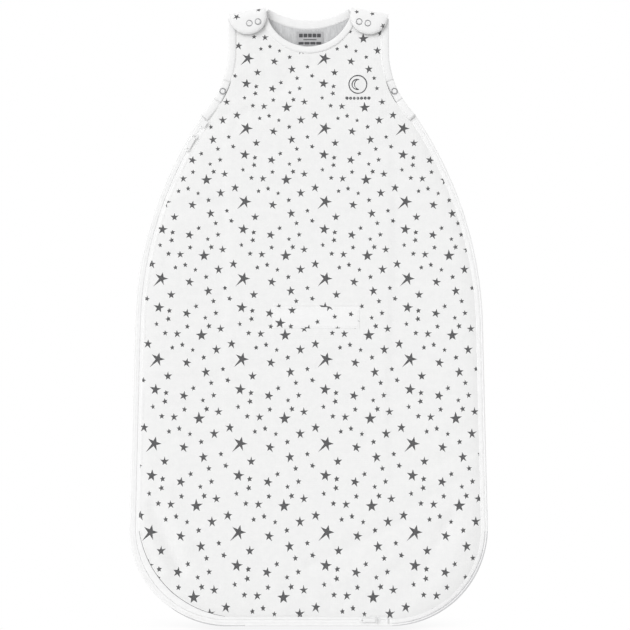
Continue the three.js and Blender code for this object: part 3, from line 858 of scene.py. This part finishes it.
def stand_in(nodes):
    """Hides the CAD nodes that a piece stands for."""
    if nodes:
        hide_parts(*nodes)


def place(piece, body, slot, *nodes):
    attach(piece, body)
    stand_in(nodes)


def bend(piece, body, start, end, slot, *nodes):
    """Cloth that crosses the joint between the bag and a body. Only bakes its transform into its points and
    hides the CAD nodes it stands for.
    """
    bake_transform(piece)
    stand_in(nodes)


def bend_over_fold(piece, slot, *nodes):
    """The piece crosses the fold line of the loose corner."""
    half = FOLD_NORMAL * FOLD_SOFT
    bend(piece, "front_flap", FOLD_POINT + half, FOLD_POINT - half, slot, *nodes)


def rectangle(x, z, width, height, corner=0.0):
    w, h = width / 2, height / 2
    if corner == 0:
        return np.array([(x - w, z - h), (x + w, z - h), (x + w, z + h), (x - w, z + h)])
    rows = []
    for k, (sx, sz) in enumerate(((1, 1), (-1, 1), (-1, -1), (1, -1))):
        for a in np.linspace(0, math.pi / 2, 5) + k * math.pi / 2:
            rows.append((x + sx * (w - corner) + corner * math.cos(a),
                         z + sz * (h - corner) + corner * math.sin(a)))
    return np.array(rows)


# ------------------------------------------------------------ panels

def node_rectangle(name, grow=0.0):
    low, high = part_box(name)
    return rectangle((low[0] + high[0]) / 2, (low[2] + high[2]) / 2,
                     high[0] - low[0] + 2 * grow, high[2] - low[2] + 2 * grow)


def node_centre(name):
    low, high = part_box(name)
    return (low[0] + high[0]) / 2, (low[2] + high[2]) / 2


def build_panels():
    low, high = CAD_BOX
    stars = stars_over((low[0], low[2]), (high[0], high[2]))
    motif_x, motif_z = node_centre("chest_motif")
    front_stars = plain_round(stars, (motif_x - 19 * MM, motif_z - 24 * MM),
                              (motif_x + 19 * MM, motif_z + 15 * MM))
    front_loop = panel_loop(FRONT_NECK, ZIP_PANEL_EDGE, SEAM_BAND, notch=STRIP_NOTCH)
    slot_front = node_rectangle("belt_slot_welt_front", -1 * MM)
    slot_back = node_rectangle("belt_slot_welt_back", -1 * MM)
    cloth = [COTTON, PRINT, REVERSE]

    front = sheet("front_panel", front_loop, [slot_front], front_stars, front_face, FABRIC, cloth, folds=True)
    bend_over_fold(front, "star_cotton", "front_shell", "front_flap_shell")

    def lining_face(points):
        return np.maximum(front_face(points) + FABRIC + LAYER_GAP, -14 * MM)

    wool = [MERINO] * 3
    peek_loop = panel_loop(FRONT_NECK, ZIP_PANEL_EDGE, SEAM_BAND, 0.02, CORNER_RECESS - LINING_PEEK,
                           LINING_NOTCH)
    lining = sheet("front_panel_lining", peek_loop, [slot_front], [], lining_face, LINING, wool, 6 * MM, True)
    # Painted shadow under the panel's lifted edge at the lower left corner: a thin near-black strip joined to
    # the lining, widest in the middle of the corner.
    weight = corner_weight(ZIP_EDGE)
    edge = ZIP_EDGE[weight > FAINT]
    weight = weight[weight > FAINT]
    middle = ZIP_PANEL_EDGE + CORNER_RECESS * weight - 0.35 * MM
    half = 0.65 * MM * np.sqrt(weight)
    shadow_line = band("lining_edge_shadow", edge, middle - half, middle + half, -8.4 * MM, -9.3 * MM, SHADOW_LINE_CLOTH)
    lining = joined("front_panel_lining", [lining, shadow_line])
    bend_over_fold(lining, "merino_lining", "front_lining", "front_flap_lining")

    back_loop = panel_loop(BACK_NECK, TUCK, TUCK, 0.004)
    back_stars = stars_over((low[0], low[2]), (high[0], high[2]), (0.031, 0.047))

    back = sheet("back_panel", back_loop, [slot_back], back_stars, back_face, -FABRIC, cloth, 8 * MM)
    place(back, "bag", "star_cotton", "back_shell")

    def back_lining_face(points):
        return back_face(points) - FABRIC - LAYER_GAP - LINING

    lining = sheet("back_panel_lining", back_loop, [slot_back], [], back_lining_face, LINING, wool, 10 * MM)
    place(lining, "bag", "merino_lining", "back_lining")


build_panels()


# ------------------------------------------------------------ bindings and edge trims

THREAD_LIFT = 0.04 * MM


def stitched(name, edge, d, y, body="bag", slot="trim_cotton", fold=False):
    """Topstitch row along an edge at one inset. A row that folds is left out where it bends."""
    flat = inset(edge, d)
    y = np.broadcast_to(y, len(edge))
    line = np.column_stack([flat[:, 0], y - THREAD_LIFT, flat[:, 1]])
    if fold:
        bends = near_fold(flat)
        cuts = np.flatnonzero(bends[1:] != bends[:-1]) + 1
        runs = [part for part, loose in zip(np.split(line, cuts), np.split(bends, cuts))
                if not loose[0] and len(part) > 3]
        rows = [stitch_row(f"{name}_{k}", part, THREAD) for k, part in enumerate(runs)]
        bend_over_fold(joined(name, rows), slot)
    else:
        place(stitch_row(name, line, THREAD), body, slot)


def build_necks():
    for neck, word, back, front in (
        (FRONT_NECK, "front", -9.3 * MM, -12.9 * MM),
        (BACK_NECK, "back", -0.4 * MM, -4.3 * MM),
    ):
        edge = neck_arc(neck, neck["radius"], neck["free"])
        share = np.linspace(-1, 1, len(edge))
        width = np.full(len(edge), neck["band"]) * (1 + 0.02 * np.cos(share * 5))
        piece = band(f"neck_binding_{word}", edge, 0, width, back, front, TRIM)
        place(piece, "bag", "trim_cotton", f"neck_binding_{word}")
        stitched(f"neck_stitching_{word}", edge, width - 1.6 * MM, front)


def strip_dip(edge):
    """How far the front armhole band sinks to the back near the underarm snap, 0 to 1."""
    middle = (STRIP_FROM + STRIP_TO) / 2
    return np.exp(-(((armhole_turn(edge) - middle) / math.radians(9)) ** 2))


def build_armholes():
    for side, word in ((-1, "left"), (1, "right")):
        turn = mirrored if side < 0 else np.array
        whole = turn(armhole_edge(ARMHOLE_TOP))
        far = ARMHOLE_BAND + 1.5 * MM * beside_strip(whole)
        back = band(f"armhole_binding_back_{word}", whole, 0.2 * MM, far, -0.3 * MM, -3.9 * MM, TRIM)
        place(back, "bag", "trim_cotton", f"armhole_binding_back_{word}")
        stitched(f"armhole_stitching_back_{word}", whole, ARMHOLE_BAND - 1.8 * MM, -0.25 * MM)

        straight = straight_edge((ARMHOLE_X, ARMHOLE_TOP), (ARMHOLE_X, ARMHOLE_STRAIGHT_END), (1, 0))
        upper = turn(np.vstack([straight, armhole_arc(0, STRIP_FROM)[1:]]))
        lower = turn(armhole_arc(STRIP_TO, ARMHOLE_TURN))
        strip = turn(armhole_arc(STRIP_FROM, STRIP_TO))
        for part, edge, body, node in (
            ("front", upper, "bag", f"armhole_binding_front_{word}"),
            ("lower", lower, "bag", f"armhole_binding_lower_{word}"),
            ("strip", strip, f"{word}_strip", f"underarm_strip_{word}"),
        ):
            dip = strip_dip(edge)
            outer = -12.6 * MM + 3.9 * MM * dip
            inner = -9.4 * MM + 2.2 * MM * dip
            far = ARMHOLE_BAND - (STRIP_GAP if part == "strip" else 0)
            piece = band(f"armhole_band_{part}_{word}", edge, 0, far, inner, outer, TRIM, 0.0, 0.75)
            place(piece, body, "trim_cotton", node)
            stitched(f"armhole_stitching_{part}_{word}", edge, far - 1.8 * MM, outer, body)


PIPING_Y = -6.4 * MM
RIM_FRONT = -9.2 * MM
HEM_SHADE_FROM = -0.2  # x where the painted shade strip on the hem starts, and how far it runs
HEM_SHADE_RUN = 0.115


def shade_strip(name, edge, weight, at, wide, front):
    """Strip of dark grey cloth at a lower corner, painted shade where the rim turns under; as wide as the
    weight allows.
    """
    chosen = weight > FAINT
    half = wide * np.sqrt(weight[chosen])
    return band(name, edge[chosen], at - half, at + half, front + 1.2 * MM, front, RIM_SHADE_CLOTH)


def build_side_trims():
    def cord(i):
        swell = 1 + 0.04 * math.sin(i * 0.7)
        return rounded(PIPING / 2, PIPING / 2 * swell, PIPING_Y, 2.4 * MM * swell, 0.9, 14)

    piece = sweep("edge_piping", PERIMETER, cord, PAINTED_LIGHT_TRIM)
    # Painted shade on the left part of the hem: a dark strip joined to the piping, widest halfway along its
    # run.
    under = np.sin(np.clip((PERIMETER[:, 0] - HEM_SHADE_FROM) / HEM_SHADE_RUN, 0, 1) * math.pi)
    under[PERIMETER[:, 1] > HEM_Z + CORNER_RADIUS] = 0
    hem_rim = shade_strip("shade_strip_hem", PERIMETER, under, 1.1 * MM, 0.9 * MM, RIM_FRONT)
    place(joined("edge_piping", [piece, hem_rim]), "bag", "trim_cotton", "edge_piping")
    corner = corner_weight(mirrored(RIGHT))
    roll = 0.2 * corner
    far = SEAM_BAND + 0.8 * MM
    seam = band("side_seam_band", RIGHT, PIPING - 1.0 * MM, far, -6.6 * MM, RIM_FRONT, PAINTED_LIGHT_TRIM, tilt=roll)
    # Painted shade at the lower right corner: dark strips at the outer rim and between piping and band,
    # joined to the side band.
    rim = shade_strip("shade_strip_outer", RIGHT, corner, 1.2 * MM, 1.1 * MM, RIM_FRONT)
    groove_shade = shade_strip("shade_strip_inner", RIGHT, corner, PIPING, 0.35 * MM, RIM_FRONT - 0.2 * MM)
    place(joined("side_seam_band", [seam, rim, groove_shade]), "bag", "trim_cotton", "side_seam_band")
    for k, d in enumerate((PIPING + 1.2 * MM, SEAM_BAND - 1.6 * MM)):
        stitched(f"side_stitching_{k}", RIGHT, d, RIM_FRONT - 0.05 * MM + roll * (far - d))


# ------------------------------------------------------------ zip

COIL_PITCH = 1.5 * MM
COIL_Y = -6.6 * MM
COIL_THREAD = 0.33 * MM
SLIT = 0.06 * MM


def coil(name, edge, near, far):
    """Nylon coil: a flattened helix along an edge, between two insets."""
    run = np.r_[0, np.cumsum(np.linalg.norm(np.diff(edge[:, :2], axis=0), axis=1))]
    steps = int(run[-1] / COIL_PITCH * 6)
    s = np.linspace(0, run[-1], steps + 1)
    rows = np.column_stack([np.interp(s, run, edge[:, k]) for k in range(4)])
    turn = np.arange(steps + 1) * math.pi / 3
    d = (near + far) / 2 + (far - near) / 2 * np.cos(turn)
    y = COIL_Y + 0.75 * MM * np.sin(turn)
    path = np.column_stack([rows[:, 0] - rows[:, 2] * d, y, rows[:, 1] - rows[:, 3] * d])
    along = np.gradient(path, axis=0)
    along /= np.linalg.norm(along, axis=1)[:, None]
    side = np.cross(along, (0, 1, 0))
    side /= np.maximum(np.linalg.norm(side, axis=1), 1e-9)[:, None]
    up = np.cross(side, along)
    ring = [path + side * COIL_THREAD * math.cos(a) + up * COIL_THREAD * math.sin(a)
            for a in (0, math.pi / 2, math.pi, 1.5 * math.pi)]
    verts = np.stack(ring, axis=1).reshape(-1, 3)
    faces = [(i * 4 + k, i * 4 + (k + 1) % 4, i * 4 + 4 + (k + 1) % 4, i * 4 + 4 + k)
             for i in range(steps) for k in range(4)]
    faces += [(0, 1, 2, 3), tuple(steps * 4 + k for k in (3, 2, 1, 0))]
    return outward(new_object(name, verts, faces, [COIL]))


def build_zip():
    recess = CORNER_RECESS * corner_weight(ZIP_EDGE)
    back = band("zip_tape_back", ZIP_EDGE, PIPING - 1.3 * MM, ZIP_CENTRE - SLIT / 2,
                -7.3 * MM, -8.8 * MM, TAPE, 0.04 * MM)
    place(back, "bag", "zip_tape", "zip_tape_back")
    front = band("zip_tape_front", ZIP_EDGE, ZIP_CENTRE + SLIT / 2, ZIP_PANEL_EDGE + 3 * MM + recess,
                 -7.4 * MM, -8.8 * MM, TAPE, 0.04 * MM)
    bend_over_fold(front, "zip_tape", "zip_tape_front_upper", "zip_tape_front_lower", "zip_tape_front_end")
    teeth = coil("zip_coil_back", ZIP_EDGE, ZIP_CENTRE - 2.7 * MM, ZIP_CENTRE + 0.3 * MM)
    place(teeth, "bag", "zip_coil", "zip_coil_back")
    teeth = coil("zip_coil_front", ZIP_EDGE, ZIP_CENTRE + 2.7 * MM, ZIP_CENTRE + 0.2 * MM)
    bend_over_fold(teeth, "zip_coil", "zip_coil_front_upper", "zip_coil_front_lower", "zip_coil_front_end")
    stitched("zip_stitching_back", ZIP_EDGE, PIPING + 1.1 * MM, -8.85 * MM, slot="zip_tape")
    edge_row = ZIP_PANEL_EDGE + recess + 2.4 * MM
    stitched("zip_stitching_front", ZIP_EDGE, edge_row, -11.0 * MM, slot="star_cotton", fold=True)


def local_plate(name, outline, holes, front, back, hinge, bevel):
    """Bevelled plate on a slider: outline in (across, up) metres from its hinge, depths in mm."""
    origin, across, up = hinge
    spots, triangles, marked = triangulated(outline, holes, [], 1.2 * MM)
    base = [origin + across * u + up * v for u, v in spots]
    sides = [[(p.x, y * MM, p.z) for p in base] for y in (front, back)]
    made = two_faced(name, *sides, triangles, [ENAMEL], marked, smooth=False)
    return bevelled(made, bevel * MM)


def bevelled(obj, width):
    edge = obj.modifiers.new("bevel", "BEVEL")
    edge.width = width
    edge.segments = 3
    edge.limit_method = "ANGLE"
    mesh = bpy.data.meshes.new_from_object(obj.evaluated_get(bpy.context.evaluated_depsgraph_get()))
    obj.modifiers.clear()
    obj.data = mesh
    return obj


def slider_outline(half, tall):
    """Right side of the slider's outline from its narrow mouth up, and the same on the left."""
    right = np.array([(0.72, -1), (1, -0.2), (0.95, 0.7), (0.45, 1)]) * (half, tall)
    return np.vstack([right, right[::-1] * (-1, 1)])


def pull_outline(length, tip):
    """Pull tab hanging down from its hinge, waisted there and round at its end."""
    right = np.array([(2.3, 1.7), (2.8, 0.0), (2.3, -2.0)]) * MM
    a = np.linspace(0, -math.pi, 9)
    end = np.column_stack([tip * np.cos(a), tip - length + tip * np.sin(a)])
    return np.vstack([right, end, right[::-1] * (-1, 1)])


def build_sliders():
    body_line = slider_outline(4.2 * MM, 5.5 * MM)
    plates = [(body_line, -9.75, -8.7, 0.35), (body_line, -5.1, -4.3, 0.25),
              (rectangle(0, 2.8 * MM, 1.2 * MM, 4 * MM), -8.8, -5.0, 0.1)]
    plates += [(rectangle(k * 3.55 * MM, 0, 0.9 * MM, 3.4 * MM), -12.5, -9.6, 0.3) for k in (-1, 1)]
    plates.append((rectangle(0, 0, 7.4 * MM, 1.2 * MM), -12.2, -11.0, 0.4))
    length = 24 * MM
    b = np.linspace(0, 2 * math.pi, 13)[:-1]
    hole = np.column_stack([1.3 * MM * np.cos(b), 4.4 * MM - length + 1.3 * MM * np.sin(b)])
    holes = [rectangle(0, 0, 3.8 * MM, 2.0 * MM, 0.5 * MM), hole]
    for word in ("upper", "lower"):
        joint = JOINTS[f"{word}_pull_swing"]
        across = -Vector(joint["axis"]).normalized()
        up = Vector((-across.z, 0, across.x)) if word == "upper" else Vector((1, 0, 0))
        hinge = Vector(joint["pos_m"]), across, up
        parts = [local_plate(f"slider_part_{k}", outline, [], front, back, hinge, bevel)
                 for k, (outline, front, back, bevel) in enumerate(plates)]
        slider = joined(f"zip_slider_{word}", parts)
        place(slider, f"{word}_slider", "zip_metal", f"zip_slider_{word}")
        outline = pull_outline(length, 2.7 * MM)
        pull = local_plate(f"zip_pull_{word}", outline, holes, -12.3, -10.9, hinge, 0.35)
        place(pull, f"{word}_pull", "zip_metal", f"zip_pull_{word}")


def box_piece(name, node, material, bevel):
    """Rounded piece in the place of a small CAD block, with the block's own corners."""
    source = frame["nodes"][node].data
    verts = [tuple(v.co) for v in source.vertices]
    faces = [tuple(p.vertices) for p in source.polygons]
    made = outward(new_object(name, verts, faces, [material], smooth=False))
    bm = bmesh.new()
    bm.from_mesh(made.data)
    bmesh.ops.dissolve_limit(bm, angle_limit=0.05, verts=bm.verts, edges=bm.edges)
    bm.to_mesh(made.data)
    bm.free()
    return bevelled(made, bevel * MM)


def build_zip_ends():
    for node, material, slot, bevel in (
        ("zip_top_stop", ENAMEL, "zip_metal", 0.35),
        ("zip_end_stop", ENAMEL, "zip_metal", 0.35),
        ("zip_garage", TRIM, "trim_cotton", 0.45),
    ):
        place(box_piece(f"{node}_piece", node, material, bevel), "bag", slot, node)


# ------------------------------------------------------------ shoulders

STRAP_RADIUS = 10.1 * MM
STRAP_CENTRE = (-10.1 * MM, -8.6 * MM)
STRAP_THICK = 2.9 * MM
STRAP_BACK = 7 * MM
STRAP_QUARTER = STRAP_RADIUS * math.pi / 2
TIP_RUN = STRAP_QUARTER + STRAP_CENTRE[1] + 6 * MM
RIM_DROP = 2.6 * MM

# Stars on the tabs as (across, run from the top of the fold, radius) in mm.
TAB_STARS = {
    "left": ((-16.0, 13.0, 5.4), (16.5, 8.0, 4.0), (-4, -9, 5)),
    "right": ((-18.0, 12.0, 3.5), (4.0, 10.5, 4.0), (22, 25, 4.6), (8, -10, 5)),
}


def strap_frame(side):
    slope = SHOULDER["slope"]
    origin = Vector((side * SHOULDER["x"], 0, SHOULDER["z"]))
    across = Vector((math.cos(slope), 0, -side * math.sin(slope)))
    up = Vector((side * math.sin(slope), 0, math.cos(slope)))
    return origin, across, up


def strap_point(s, depth):
    """Depth and height of the strap at run s from the top of its fold, depth inside its face.
    s runs from the back (negative) over the fold to the front."""
    radius = STRAP_RADIUS - depth
    if s < -STRAP_QUARTER:
        return STRAP_CENTRE[0] + radius, STRAP_CENTRE[1] + (s + STRAP_QUARTER)
    if s > STRAP_QUARTER:
        settle = 0.3 * MM * (1 - math.exp(-(s - STRAP_QUARTER) / (9 * MM)))
        return STRAP_CENTRE[0] - radius + settle, STRAP_CENTRE[1] - (s - STRAP_QUARTER)
    a = s / STRAP_RADIUS
    return STRAP_CENTRE[0] - radius * math.sin(a), STRAP_CENTRE[1] + radius * math.cos(a)


def strap_place(side, u, s, depth):
    """Point on a strap: u across it, s along it. The rim of its tongue bends to the panel."""
    origin, across, up = strap_frame(side)
    y, w = strap_point(s, depth)
    to_rim = SHOULDER["half"] - (math.hypot(u, s - TIP_RUN) if s > TIP_RUN else abs(u))
    fade = min(max(s / STRAP_QUARTER, 0.0), 1.0) ** 2
    p = origin + across * u + up * w
    return p.x, y + RIM_DROP * fade * math.exp(-max(to_rim, 0) / (3 * MM)), p.z


def strap_outline(half, foot):
    """Outline of a strap as (across, run): straight sides from the foot, and a round tongue."""
    tip = np.linspace(0, math.pi, 25)
    tongue = np.column_stack([half * np.cos(tip), TIP_RUN + half * np.sin(tip)])
    return np.vstack([[(-half, foot), (half, foot)], tongue])


def strap_layer(name, side, near, far, materials, stars=(), shrink=1.0):
    half = SHOULDER["half"]
    loop = strap_outline(half, -STRAP_QUARTER - STRAP_BACK) * (shrink, 1) - (0, (1 - shrink) * half * 0.4)
    spots, triangles, marked = triangulated(loop, [], stars, 2 * MM)
    faces = [[strap_place(side, u, s, depth) for u, s in spots] for depth in (near, far)]
    return two_faced(name, *faces, triangles, materials, marked)


def build_shoulders():
    margin = 2 * MM
    half = SHOULDER["half"] - margin
    for side, word in ((-1, "left"), (1, "right")):
        stars = [(np.array([u, s]) * MM, size * MM * 1.1, star_shape(size * MM, rng) + (u * MM, s * MM))
                 for u, s, size in TAB_STARS[word]]
        # The tab shell takes the lighter cover cotton: painted light against the shade on its tilted face.
        shell = strap_layer(f"shoulder_tab_{word}", side, 0, 1.6 * MM, [COVER, PRINT], stars)
        lining = strap_layer(f"shoulder_tab_lining_{word}", side, 1.7 * MM, STRAP_THICK, [MERINO],
                             shrink=0.97)
        line = resampled(np.roll(strap_outline(half, -STRAP_QUARTER), -1, axis=0), margin)
        points = [strap_place(side, u, s, -0.05 * MM) for u, s in line
                  if s > -STRAP_QUARTER + 0.1 * MM or abs(u) >= half - 0.2 * MM]
        rows = stitch_row(f"shoulder_tab_stitching_{word}", points, THREAD, 2.8 * MM, 2 * MM, 0.24 * MM)
        origin = strap_frame(side)[0]
        for piece, slot, nodes in (
            (shell, "star_cotton", (f"tab_shell_{word}", f"shoulder_strap_{word}")),
            (lining, "merino_lining", (f"tab_lining_{word}",)),
            (rows, "star_cotton", ()),
        ):
            bend(piece, f"{word}_tab", origin + Vector((0, -4 * MM, 0)), origin + Vector((0, -17 * MM, 0)),
                 slot, *nodes)


# ------------------------------------------------------------ snaps (radii and depths in mm)

def socket_snap(name, body, node, cap_front, cap_back, socket_front, socket_back):
    """Ring cap with the cloth in its middle, its tube, and the socket behind the cloth."""
    centre = node_centre(node)
    cloth_y = cap_front + 0.45
    cloth = [(0.05, cloth_y - 0.3), (2.2, cloth_y - 0.2), (3.35, cloth_y + 0.2),
             (3.35, cap_back), (0.05, cap_back)]
    parts = [
        lathe("cap", ring_section(3.2, 4.75, cap_back, cap_front), centre, NICKEL),
        lathe("cloth", cloth, centre, COVER),
        lathe("tube", ring_section(2.7, 3.4, socket_front, cap_back, 8), centre, NICKEL),
        lathe("socket", ring_section(2.6, 4.7, socket_back, socket_front), centre, NICKEL),
    ]
    place(joined(name, parts), body, "snap_metal", node)


def stud_snap(node, flange_back, flange_front, nub_front, ring_back, ring_front):
    """Flange and nub in front of the cloth, and the prong ring behind it."""
    centre = node_centre(node)
    nub = [(0.2, nub_front), (1.3, nub_front), (1.9, nub_front + 0.5), (1.75, flange_front + 0.1),
           (2.2, flange_front), (4.4, flange_front), (4.75, (flange_front + flange_back) / 2),
           (4.5, flange_back), (3.0, flange_back), (3.0, ring_front), (0.2, ring_front)]
    parts = [
        lathe("nub", nub, centre, NICKEL),
        lathe("ring", ring_section(2.7, 4.75, ring_back, ring_front), centre, NICKEL),
    ]
    place(joined(f"{node}_piece", parts), "bag", "snap_metal", node)


def build_snaps():
    for word in ("left", "right"):
        for which in ("inner", "outer"):
            socket_snap(f"tab_ring_snap_{word}_{which}", f"{word}_tab", f"tab_snap_{word}_{which}",
                        -20.3, -19.0, -16.9, -14.9)
            stud_snap(f"shoulder_stud_{word}_{which}", -13.0, -13.8, -16.1, -8.2, -9.2)
        socket_snap(f"underarm_ring_snap_{word}", f"{word}_strip", f"underarm_snap_{word}",
                    -9.9, -8.6, -6.8, -4.9)
        stud_snap(f"underarm_stud_{word}", -3.8, -4.5, -5.7, 0.1, -0.8)


# ------------------------------------------------------------ harness slot

FLAP_CLOTH = 0.4 * MM


def closed(loop):
    return np.vstack([loop, loop[:1]])


def build_welts():
    for word, surface_of, offset, depth in (("front", front_face, 0.15 * MM, 2.9 * MM),
                                            ("back", back_face, 0.3 * MM, -3.6 * MM)):
        node = f"belt_slot_welt_{word}"
        loop, hole = node_rectangle(node, 1.5 * MM), node_rectangle(node, -3.4 * MM)
        piece = sheet(f"slot_welt_{word}", loop, [hole], [], lambda points: surface_of(points) + offset,
                      depth, [TRIM] * 3, 4 * MM)
        place(piece, "bag", "trim_cotton", node)


def build_flap():
    """Cover flap over the front slot, and the seam hem that holds its top edge."""
    low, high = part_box("belt_flap")
    loop = node_rectangle("belt_flap")
    stars = stars_over((low[0], low[2]), (high[0], high[2]), (0.052, 0.083))
    rim = closed(loop)

    def flap_face(points):
        puff = 0.4 * MM * (1 - np.exp(-edge_distance(points, rim) / (2 * MM)))
        return front_face(points) - 0.45 * MM - puff

    flap = sheet("belt_flap_cover", loop, [], stars, flap_face, FLAP_CLOTH, [COVER, PRINT, REVERSE], 3 * MM)
    place(flap, "belt_cover", "star_cotton", "belt_flap")

    hem_loop = node_rectangle("belt_flap_hem")
    hem_loop[:2, 1] -= 0.45 * MM
    hem_rim = closed(hem_loop)

    def hem_face(points):
        return front_face(points) - 0.5 * MM * (1 - np.exp(-edge_distance(points, hem_rim) / (1.5 * MM)))

    stars = stars_over((low[0], low[2]), (high[0], high[2] + 8 * MM))
    cloth = [COTTON, PRINT, REVERSE]
    hem = sheet("belt_flap_seam", hem_loop, [], stars, hem_face, FLAP_CLOTH, cloth, 1.5 * MM)
    place(hem, "bag", "star_cotton", "belt_flap_hem")

    border = resampled(node_rectangle("belt_flap", -2.2 * MM), 3 * MM)
    line = np.column_stack([border[:, 0], flap_face(border) - THREAD_LIFT, border[:, 1]])
    rows = stitch_row("belt_flap_stitching", line, THREAD, 2.8 * MM, 2 * MM, 0.22 * MM)
    place(rows, "belt_cover", "star_cotton")


# ------------------------------------------------------------ label and motif

def build_label():
    """Woven label with three rows of plain bars."""
    low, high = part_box("neck_label")
    centre = node_centre("neck_label")
    loop = rectangle(*centre, high[0] - low[0], high[2] - low[2], 0.8 * MM)
    bars = []
    for rise, height, count, pitch in ((4.6, 5.4, 5, 6.4), (-1.4, 1.4, 1, 20), (-6.4, 3.8, 4, 8.4)):
        for k in range(count):
            spot = (centre[0] + (k - (count - 1) / 2) * pitch * MM, centre[1] + rise * MM)
            bars.append((np.array(spot), 0.0, rectangle(*spot, (pitch - 0.9) * MM, height * MM, 0.7 * MM)))

    def face(points):
        return -4.9 * MM - 0.25 * MM * np.cos((points[:, 0] - centre[0]) * 120)

    label = sheet("neck_label_piece", loop, [], bars, face, 0.5 * MM, [LABEL, LABEL_INK, LABEL], 3 * MM)
    place(label, "bag", "label_cloth", "neck_label")


def satin_arc(name, centre, radius, width, pitch=0.55, start=0, end=360):
    """Round satin stitching: threads laid side by side across an arc. Sizes in mm and degrees."""
    verts, faces = [], []
    radius, width, pitch = radius * MM, width * MM, pitch * MM
    start, end = math.radians(start), math.radians(end)
    count = int(radius * (end - start) / pitch)
    for k in range(count):
        a = start + (end - start) * k / count
        ray = np.array([math.cos(a), math.sin(a)])
        side = np.array([-ray[1], ray[0]])
        mid = np.array(centre) + ray * radius
        reach = width / 2 * rng.uniform(0.9, 1.1)
        y = front_at(mid)
        base = len(verts)
        for end_sign, y_off in ((-1, 0.1 * MM), (0, -0.45 * MM), (1, 0.1 * MM)):
            p = mid + ray * reach * end_sign
            for w in (-0.3 * MM, 0.3 * MM):
                q = p + side * w
                verts.append((q[0], y + y_off - (0.12 * MM if w > 0 else 0), q[1]))
        verts.append((mid[0], y + 0.3 * MM, mid[1]))
        tip = base + 6
        faces += [(base, base + 1, base + 3, base + 2), (base + 2, base + 3, base + 5, base + 4)]
        faces += [(base + p, base + q, tip) for p, q in ((0, 2), (2, 4), (4, 5), (5, 3), (3, 1), (1, 0))]
    return outward(new_object(name, verts, faces, [DARK_THREAD]))


def front_at(point):
    return float(front_face(np.array([point]))[0])


def build_motif():
    """Chest motif: a crescent in a ring over a row of dots."""
    x, z = node_centre("chest_motif")
    parts = [
        satin_arc("motif_ring", (x, z), 12.6, 1.7),
        satin_arc("motif_moon_outer", (x - 1 * MM, z), 7.2, 1.5, start=70, end=290),
        satin_arc("motif_moon_inner", (x + 2.2 * MM, z), 7.0, 1.2, start=104, end=256),
    ]
    for k in range(-3, 4):
        dot = (x + k * 5.2 * MM, z - 19.5 * MM)
        parts.append(satin_arc(f"motif_dot_{k}", dot, 1.3, 2.1, 0.4))
    place(joined("chest_motif_stitching", parts), "bag", "motif_thread", "chest_motif")


build_necks()
build_armholes()
build_side_trims()
build_zip()
build_sliders()
build_zip_ends()
build_shoulders()
build_snaps()
build_welts()
build_flap()
build_label()
build_motif()


# ------------------------------------------------------------ stage, light and camera

AMBIENT = 0.675
VIEW_WIDTH = 0.8935
VIEW_CENTRE = (9.2 * MM, 3.9 * MM)


def camera_mix(tree, given, seen, output):
    """Shows one shader to the camera and lights the scene with the other one."""
    path = add(tree, "ShaderNodeLightPath")
    mix = add(tree, "ShaderNodeMixShader")
    tree.links.new(path.outputs["Is Camera Ray"], mix.inputs[0])
    tree.links.new(given.outputs[0], mix.inputs[1])
    tree.links.new(seen.outputs[0], mix.inputs[2])
    tree.links.new(mix.outputs[0], tree.nodes[output].inputs["Surface"])


def floor_white(tree, _):
    """White floor with a painted contact shadow: to the camera it glows white, darkened by ambient occlusion
    close to the bag; to all other rays it glows evenly at AMBIENT.
    """
    shade = add(tree, "ShaderNodeAmbientOcclusion", Distance=0.12, samples=16)
    ramp = ramp_of(tree, shade.outputs["AO"], (0.80, 0.80, 0.81), (1, 1, 1), 0.2, 0.9)
    seen = add(tree, "ShaderNodeEmission", Strength=1.0)
    given = add(tree, "ShaderNodeEmission", Color=WHITE, Strength=AMBIENT)
    tree.links.new(ramp.outputs["Color"], seen.inputs["Color"])
    camera_mix(tree, given, seen, "Material Output")


def build_stage():
    world = bpy.data.worlds.new("studio")
    bpy.context.scene.world = world
    world.use_nodes = True
    tree = world.node_tree
    given = add(tree, "ShaderNodeBackground", Color=WHITE, Strength=AMBIENT)
    seen = add(tree, "ShaderNodeBackground", Color=WHITE, Strength=1.0)
    camera_mix(tree, given, seen, "World Output")
    z = CAD_BOX[0][2] - 4 * MM
    corners = [(x, y, z) for x, y in ((-6, -6), (6, -6), (6, 6), (-6, 6))]
    new_object("floor", corners, [(0, 1, 2, 3)], [node_material("floor_white", floor_white)])


def sun_light(name, source, strength):
    """Very soft light from the direction of source."""
    lamp = bpy.data.lights.new(name, "SUN")
    lamp.energy = strength
    lamp.angle = math.radians(45)
    made = bpy.data.objects.new(name, lamp)
    made.rotation_euler = (-Vector(source)).to_track_quat("-Z", "Y").to_euler()
    bpy.context.scene.collection.objects.link(made)


def build_camera():
    """Camera straight in front of the bag, as in the photo."""
    data = bpy.data.cameras.new("camera")
    data.lens = 85.0
    data.sensor_width = 36.0
    away = VIEW_WIDTH * data.lens / data.sensor_width + 12 * MM
    made = bpy.data.objects.new("camera", data)
    made.location = (VIEW_CENTRE[0], -away, VIEW_CENTRE[1])
    made.rotation_euler = (math.pi / 2, 0, 0)
    bpy.context.scene.collection.objects.link(made)
    bpy.context.scene.camera = made


build_stage()
sun_light("key", (-1.2, -1.6, 0.75), 1.42)
sun_light("back_fill", (1.0, 1.2, 1.0), 1.2)
build_camera()
bpy.context.scene.view_settings.view_transform = "Standard"
